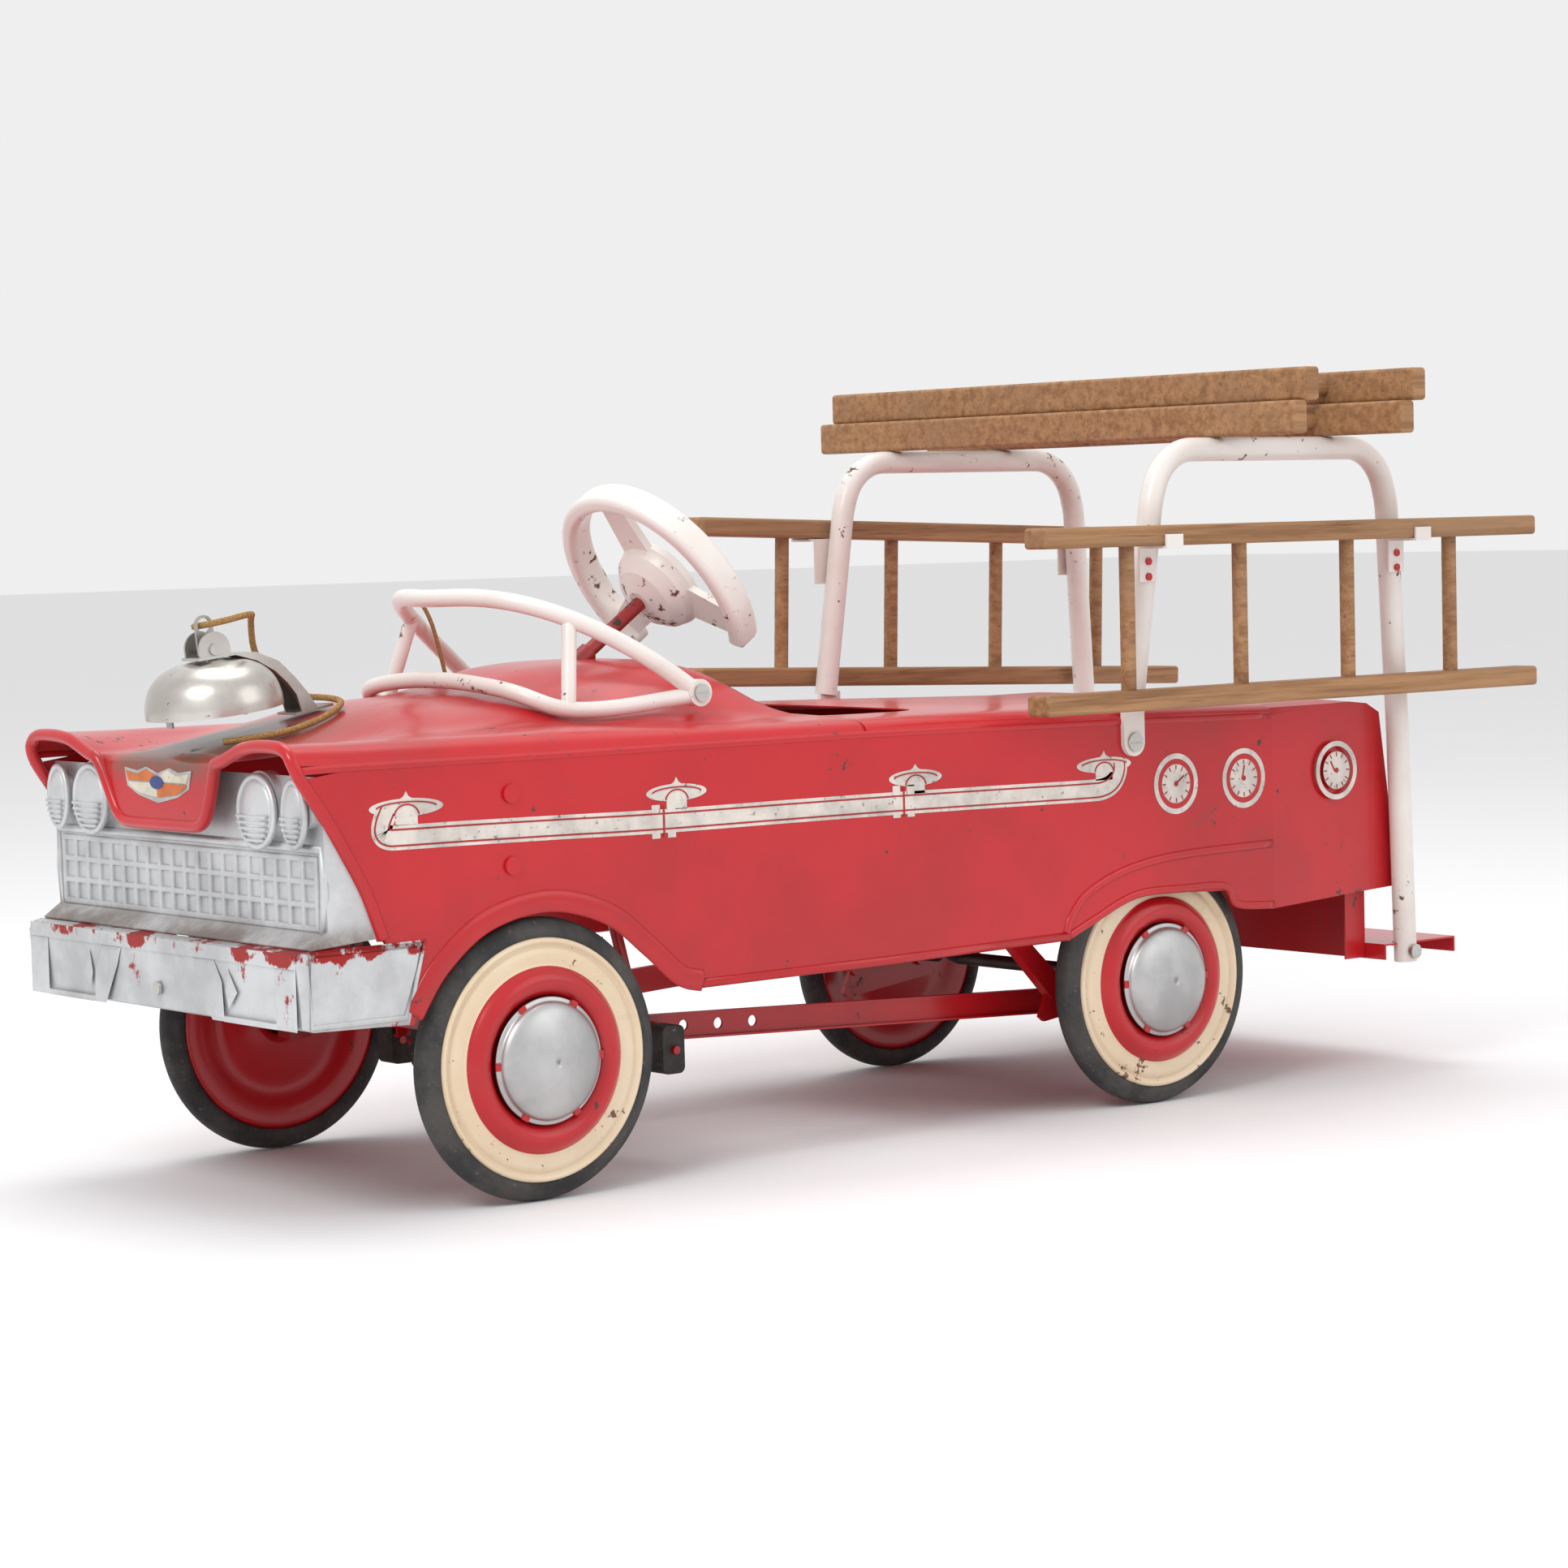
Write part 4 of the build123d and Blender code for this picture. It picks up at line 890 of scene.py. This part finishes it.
# %% [markdown]
# The top laps over each side panel. The lap shows as a soft bead along the
# shoulder, which is a thin oval carried from the nose to the tail.
# %% The lapped seam along the shoulder
for side, word in SIDES:
    shoulder = [at(side * 184.9, y, z) for y, z in (
        (-192, 313), (-150, 313.4), (0, 312.6), (176, 312.2), (300, 311.8), (405, 310.6),
        (560, 308.3), (726, 305))]
    trim(f"{word}_shoulder_bead", swept(curve_through(shoulder, 6), oval(0.9, 2.8, 12),
                                        start_up=Vector((0, 0, 1))), red_enamel)
print("shoulder beads made")

# %% [markdown]
# ## The badge
# A generic shield in two tones: a silver line, cream and orange quarters and a
# small blue oval. It carries no words. Each field is its own thin raised pane,
# so the badge also reads as a shape in the exported meshes.
# %% Shield badge
def flat_finish(name, colour, rough=0.4):
    coat = Finish(name)
    spots = coat.noise(180, 5, 0.7).over(0.60, 0.68)
    tone = coat.noise(40, 3, 0.6)
    darker = tuple(c * 0.6 for c in colour)
    shade = coat.mix(tone.over(0.3, 0.8), colour, darker)
    coat.wear(Base_Color=coat.mix(spots * 0.8, shade, (0.09, 0.05, 0.04)),
              Roughness=rough + tone * 0.15)
    return coat.material


badge_cream = flat_finish("badge cream", (0.66, 0.60, 0.48))
badge_orange = flat_finish("badge orange", (0.62, 0.15, 0.025))
badge_blue = flat_finish("badge blue", (0.03, 0.06, 0.22))
badge_line = flat_finish("badge silver line", (0.45, 0.45, 0.44), 0.3)


def pane(outline, depth, y):
    """A thin pane facing forwards: outline in (x, z) millimetres."""
    return slab([at(x, y, z) for x, z in outline], [at(x, y + depth, z) for x, z in outline])


def badge_half(side, inset, top=310, tip=285):
    w = 46 - inset
    return [(side * x, z) for x, z in (
        (inset * 0.25, top - 4 - inset), (w * 0.35, top - inset * 0.6), (w * 0.62, top - 3 - inset),
        (w, top - 1 - inset), (w * 0.93, 296), (w * 0.6, 290 + inset * 0.5),
        (inset * 0.25, tip + inset * 0.6))]


whole = badge_half(1, 0) + list(reversed(badge_half(-1, 0)))
badge_parts = [("badge_rim", pane(whole, 2.0, -194.2), badge_line)]
for side, word in SIDES:
    half = badge_half(side, 2.4)
    upper = [p for p in half if p[1] > 297] + [(side * 40, 300), (side * 0.6, 300)]
    lower = [(side * 0.6, 299), (side * 40, 299), (side * 39, 296.5), (side * 26, 291.5),
             (side * 0.6, 289)]
    badge_parts += [
        (f"badge_upper_{word}", pane(upper, 0.7, -194.8),
         badge_cream if side > 0 else badge_orange),
        (f"badge_lower_{word}", pane(lower, 0.7, -194.8),
         badge_orange if side > 0 else badge_cream)]
jewel = [(9 * cos(a), 299.5 + 4.6 * sin(a)) for a in round_turn(24)]
badge_parts.append(("badge_oval", pane(jewel, 0.8, -195.4), badge_blue))
for name, shape, finish in badge_parts:
    trim(name, shape, finish, smooth=False)
print(len(badge_parts), "badge panes")

# %% [markdown]
# ## Radiator panel and lamps
# The silver panel is pressed with a grid of small pockets between ribs, and two
# lamps a side stand in a pod, each with a ring and flutes across its lower half.
# Ribs and flutes repeat, so the row tree makes them.
# %% Grille ribs
rib_parts = []
COLUMNS, GRID_LOW, GRID_HIGH, HALF = 20, 205.5, 252.5, 174
pitch = 2 * HALF / COLUMNS
points, faces = run_tree("ribs", ROW, ROW_IDS, {
    "Count": COLUMNS + 1, "Step": (pitch / 1000, 0, 0),
    "Size": (0.0044, 0.005, (GRID_HIGH - GRID_LOW) / 1000)})
centre = at(-HALF, -173.6, (GRID_LOW + GRID_HIGH) / 2)
rib_parts.append(([p + centre for p in points], faces))
points, faces = run_tree("bars", ROW, ROW_IDS, {
    "Count": 4, "Step": (0, 0, (GRID_HIGH - GRID_LOW) / 3000),
    "Size": (2 * HALF / 1000 + 0.004, 0.005, 0.0044)})
centre = at(0, -173.4, GRID_LOW)
rib_parts.append(([p + centre for p in points], faces))
ribs = soften(trim("radiator_ribs", joined(*rib_parts), grille_silver, "silver_paint",
                   smooth=False), 1.3)

frame_path = [at(x, -174, z) for x, z in (
    (-181, 259), (0, 259.5), (181, 259), (182, 230), (179, 200), (0, 199.5), (-179, 200),
    (-182, 230))]
trim("radiator_border", swept(frame_path, oval(3, 3.2, 8), closed=True), grille_silver,
     "silver_paint")
print("grille", len(ribs.data.polygons), "faces before bevel")

# %% [markdown]
# Each lamp is a low oval dome stepped out in rings, with a rolled ring round it
# and five flutes that follow the dome across its lower half.
# %% Lamps
for side, word in SIDES:
    parts, flutes = [], []
    for x, r, tall in ((115, 22.5, 24), (163, 13, 22)):
        ring = [at(side * (x + r * cos(a)), -184, 283 + tall * sin(a))
                for a in round_turn(48)]
        parts.append(swept(ring, oval(2.4, 2.4, 10), closed=True))
        rings = ((1, -184.2), (0.82, -186.2), (0.55, -188), (0.28, -189), (0.05, -189.3))
        dome, dome_faces = [], []
        for scale, y in rings:
            dome += [at(side * (x + r * scale * cos(a)), y, 283 + tall * scale * sin(a))
                     for a in round_turn(48)]
        for i in range(len(rings) - 1):
            dome_faces += [(i * 48 + k, i * 48 + (k + 1) % 48, (i + 1) * 48 + (k + 1) % 48,
                            (i + 1) * 48 + k) for k in range(48)]
        dome_faces.append(tuple(range((len(rings) - 1) * 48, len(rings) * 48)))
        dome_faces.append(tuple(range(48)))
        parts.append((dome, dome_faces))
        for k in range(5):
            drop = -3 - k * tall * 0.17
            half = r * sqrt(max(0.04, 1 - (drop / tall) ** 2)) * 0.86
            bar, bar_faces = run_tree("flute", ROW, ROW_IDS, {
                "Count": 1, "Size": (2 * half / 1000, 0.0028, 0.0022)})
            depth = -188.4 + 3.2 * (drop / tall) ** 2
            flutes.append(([p + at(side * x, depth, 283 + drop) for p in bar], bar_faces))
    trim(f"{word}_lamp_pair", joined(*parts), grille_silver, "silver_paint")
    soften(trim(f"{word}_lamp_flutes", joined(*flutes), grille_silver, "silver_paint",
                smooth=False), 0.7)
print("lamps made")

# %% [markdown]
# ## Painted lines on the sides
# A white pipe with a valve cap at each joint is painted along each side, with
# three round dials under the rear end of it. The lettering of the real car is
# left out. Paint has almost no thickness, so each stripe is a strip a third of a
# millimetre proud of the panel.
# %% Pipe stripes
line_white = flat_finish("painted white line", (0.74, 0.68, 0.62))
line_red = flat_finish("painted red line", (0.42, 0.015, 0.015))
PANEL_X = 185.0


def strip(side, path, width, proud, closed=False):
    """A flat strip on the side panel: path in (y, z) millimetres."""
    line = [at(side * (PANEL_X + proud / 2), y, z) for y, z in path]
    half = width / 2
    flat = [(-half, -proud / 2), (half, -proud / 2), (half, proud / 2), (-half, proud / 2)]
    return swept(line, flat, closed=closed, start_up=Vector((1, 0, 0)))


PIPE = [(-124, 283), (-128, 275), (-129, 268), (-124, 264.5), (-112, 263.8), (-60, 263.2),
        (20, 261.8), (102, 260.2), (220, 259.6), (335, 258.8), (440, 257.4), (520, 256.2),
        (540, 257), (551, 262), (556, 270), (556, 277)]
CAPS = ((-109, 284, 30), (121, 280, 27), (346, 277, 26), (540, 275.5, 29))


def offset(path, amount):
    out = []
    for i, p in enumerate(path):
        a, b = path[max(0, i - 1)], path[min(len(path) - 1, i + 1)]
        dy, dz = b[0] - a[0], b[1] - a[1]
        size = sqrt(dy * dy + dz * dz)
        out.append((p[0] - dz / size * amount, p[1] + dy / size * amount))
    return out


def patch(side, outline, proud):
    """A painted patch with a closed outline in (y, z)."""
    return slab([at(side * (PANEL_X + proud), y, z) for y, z in outline],
                [at(side * PANEL_X, y, z) for y, z in outline])


def arc(y, z, a, b, start=0.0, end=2 * pi, steps=28):
    return [(y + a * cos(start + (end - start) * k / steps),
             z + b * sin(start + (end - start) * k / steps)) for k in range(steps + 1)]


for side, word in SIDES:
    fine = [(p.x, p.y) for p in curve_through([Vector((y, z, 0)) for y, z in PIPE], 5)]
    parts = [strip(side, fine, 17, 0.3)]
    inner = [strip(side, offset(fine, a), 1.3, 0.5) for a in (5.4, -5.6)]
    for y, z, w in CAPS:
        dome = arc(y, z, w, 6.2)[:-1]
        knob = [(y - 6, z + 5.4), (y - 2, z + 7.6), (y, z + 11), (y + 2, z + 7.6), (y + 6, z + 5.4)]
        neck = [(y - 9, z - 4), (y + 9, z - 4), (y + 9, z - 12), (y - 9, z - 12)]
        parts += [patch(side, dome, 0.42), patch(side, knob, 0.3), patch(side, neck, 0.3)]
        inner += [strip(side, arc(y, z - 0.4, w * 0.82, 4.2, 0.15, pi - 0.15), 1.0, 0.9),
                  strip(side, arc(y, z - 6, 10, 8, 0.1, pi - 0.1), 1.0, 0.9)]
    for y in (102, 116, 327, 341):
        parts.append(strip(side, [(y, 248), (y, 272)], 7, 0.42))
    for y in (109, 334):
        inner.append(strip(side, [(y, 249), (y, 271)], 1.6, 0.7))
    trim(f"{word}_pipe_stripe", joined(*parts), line_white, smooth=False)
    trim(f"{word}_pipe_lines", joined(*inner), line_red, smooth=False)
print("pipe stripes on both sides")

# %% [markdown]
# A dial is a white ring round a white face, with twelve ticks and a needle in
# red. The ring tree places the ticks; the words of the real dials are left out.
# %% Dials
for side, word in SIDES:
    faces_white, marks = [], []
    for y, needle in ((618, 0.6), (694, 1.5), (802, 2.3)):
        circle = arc(y, 256, 22, 22, steps=48)[:-1]
        faces_white.append(strip(side, circle, 4.2, 0.45, closed=True))
        faces_white.append(patch(side, arc(y, 256, 15.5, 15.5, steps=40)[:-1], 0.35))
        points, faces = run_tree("ticks", RING, RING_IDS, {
            "Count": 12, "Radius": 0.0132, "Size": (0.0036, 0.0009, 0.0003)})
        hub = at(side * (PANEL_X + 0.5), y, 256)
        marks.append(([hub + Vector((p.z, p.x, p.y)) for p in points], faces))
        tip = (y + 10.5 * cos(needle), 256 + 10.5 * sin(needle))
        marks.append(strip(side, [(y - 2, 255), tip], 1.6, 0.6))
        marks.append(patch(side, arc(y, 256, 2.2, 2.2, steps=16)[:-1], 0.7))
    trim(f"{word}_dial_faces", joined(*faces_white), line_white, smooth=False)
    trim(f"{word}_dial_marks", joined(*marks), line_red, smooth=False)
print("three dials a side")

# %% [markdown]
# ## Pressed edges on the sides
# A rounded flange stands round the front wheel arch, and a crease runs from the
# rear arch back to the tail. Both are low sections carried along the edge.
# %% Flanges and creases
FRONT_ARCH = [(-129, 150), (-108, 137), (-84, 169), (-45, 196.5), (8, 206), (58, 193), (93, 167),
              (120, 144), (140, 138)]
REAR_ARCH = [(500, 141.5), (524, 151), (572, 168), (626, 169), (672, 167), (684, 152), (727, 148)]
for side, word in SIDES:
    arch = curve_through([at(side * 185.2, y, z + 5) for y, z in FRONT_ARCH[1:]], 8)
    crease = curve_through([at(side * 185.1, y, z) for y, z in (
        (497, 147), (503, 160), (520, 176), (560, 191), (620, 199), (726, 201))], 6)
    rear = curve_through([at(side * 185.1, y, z + 3) for y, z in REAR_ARCH], 5)
    sill = [at(side * 185.1, y, z) for y, z in ((140, 141), (320, 142), (500, 144.5))]
    shapes = joined(swept(arch, oval(1.7, 8, 14), start_up=Vector((0, 0, 1))),
                    swept(crease, oval(1.6, 3.4, 10)), swept(rear, oval(1.2, 3.2, 8)),
                    swept(sill, oval(1.4, 3.4, 8)))
    trim(f"{word}_side_flanges", shapes, red_enamel)
print("flanges made")

# %% [markdown]
# ## Bumper pressing
# The bumper's face has a raised top strip, two slanting posts, a wedge in each
# side panel and a post at each corner. Each is a low plate with sloping edges,
# and a swept edge goes round the end caps.
# %% Raised parts of the bumper
BUMPER_FACE = -199.9


def raised(outline, slope, height=1.35):
    """A low plate on the bumper's face whose edges slope inwards."""
    middle = Vector((sum(p[0] for p in outline), sum(p[1] for p in outline))) / len(outline)
    top = []
    for x, z in outline:
        toward = middle - Vector((x, z))
        toward = toward.normalized() * min(slope, toward.length * 0.5)
        top.append(at(x + toward.x, BUMPER_FACE - height, z + toward.y))
    return slab([at(x, BUMPER_FACE, z) for x, z in outline], top)


plates = [raised([(-184, 191), (184, 191), (184, 181), (-184, 181)], 3)]
for side in (1, -1):
    plates += [
        raised([(side * x, z) for x, z in (
            (50, 181), (78, 181), (88, 166), (90, 139), (74, 139), (66, 152), (56, 168))], 4),
        raised([(side * x, z) for x, z in ((158, 181), (184, 181), (184, 139), (158, 139))], 4),
        raised([(side * x, z) for x, z in (
            (90, 143), (158, 143), (158, 139), (90, 139))], 1.5),
        raised([(side * x, z) for x, z in (
            (96, 176), (108, 160), (96, 148), (92, 160))], 6, 1.0)]
trim("bumper_raised_plates", joined(*plates), bumper_silver, "silver_paint", smooth=False)
for side, word in SIDES:
    end = swept([at(side * 185.9, y, z) for y, z in (
        (-190, 190), (-100, 190), (-115, 141), (-190, 141))], oval(1.4, 2.4, 8), closed=True)
    trim(f"{word}_bumper_end_edge", end, bumper_silver, "silver_paint")
print("bumper plates", len(plates))

# %% [markdown]
# ## Floor and light
# A plain pale floor and soft light: one large panel over the front left, a
# weaker one from the right, and an even pale sky that also fills the shadows.
# %% Studio
floor_data = bpy.data.meshes.new("floor")
floor_data.from_pydata([(-30, -30, 0), (30, -30, 0), (30, 30, 0), (-30, 30, 0)], [],
                       [(0, 1, 2, 3)])
floor = placed("floor", floor_data)
ground = Finish("pale floor", Roughness=0.9, Specular_IOR_Level=0.1)
ground.wear(Base_Color=ground.mix(ground.noise(3, 2), (0.86, 0.86, 0.87), (0.84, 0.84, 0.85)))
floor_data.materials.append(ground.material)


def soft_panel(name, place, target, size, watts):
    light = bpy.data.lights.new(name, "AREA")
    light.shape, light.size, light.energy = "DISK", size, watts
    thing = placed(name, light)
    thing.location = place
    thing.rotation_euler = (Vector(target) - Vector(place)).to_track_quat("-Z", "Y").to_euler()


soft_panel("key_panel", (1.2, -2.8, 2.6), (0, 0, 0.25), 1.4, 44)
soft_panel("fill_panel", (2.8, 1.4, 1.8), (0, 0, 0.2), 2.4, 14)
soft_panel("top_panel", (-0.6, 0.2, 3.2), (0, 0, 0.3), 2.2, 34)
bpy.context.scene.view_settings.view_transform = "Standard"
world = bpy.data.worlds.new("studio")
bpy.context.scene.world = world
world.use_nodes = True
world.node_tree.nodes["Background"].inputs["Color"].default_value = (0.93, 0.93, 0.93, 1)
world.node_tree.nodes["Background"].inputs["Strength"].default_value = 0.93
print("studio lit")

# %% [markdown]
# ## Finish
# %% Finish
import json
bpy.context.view_layer.update()
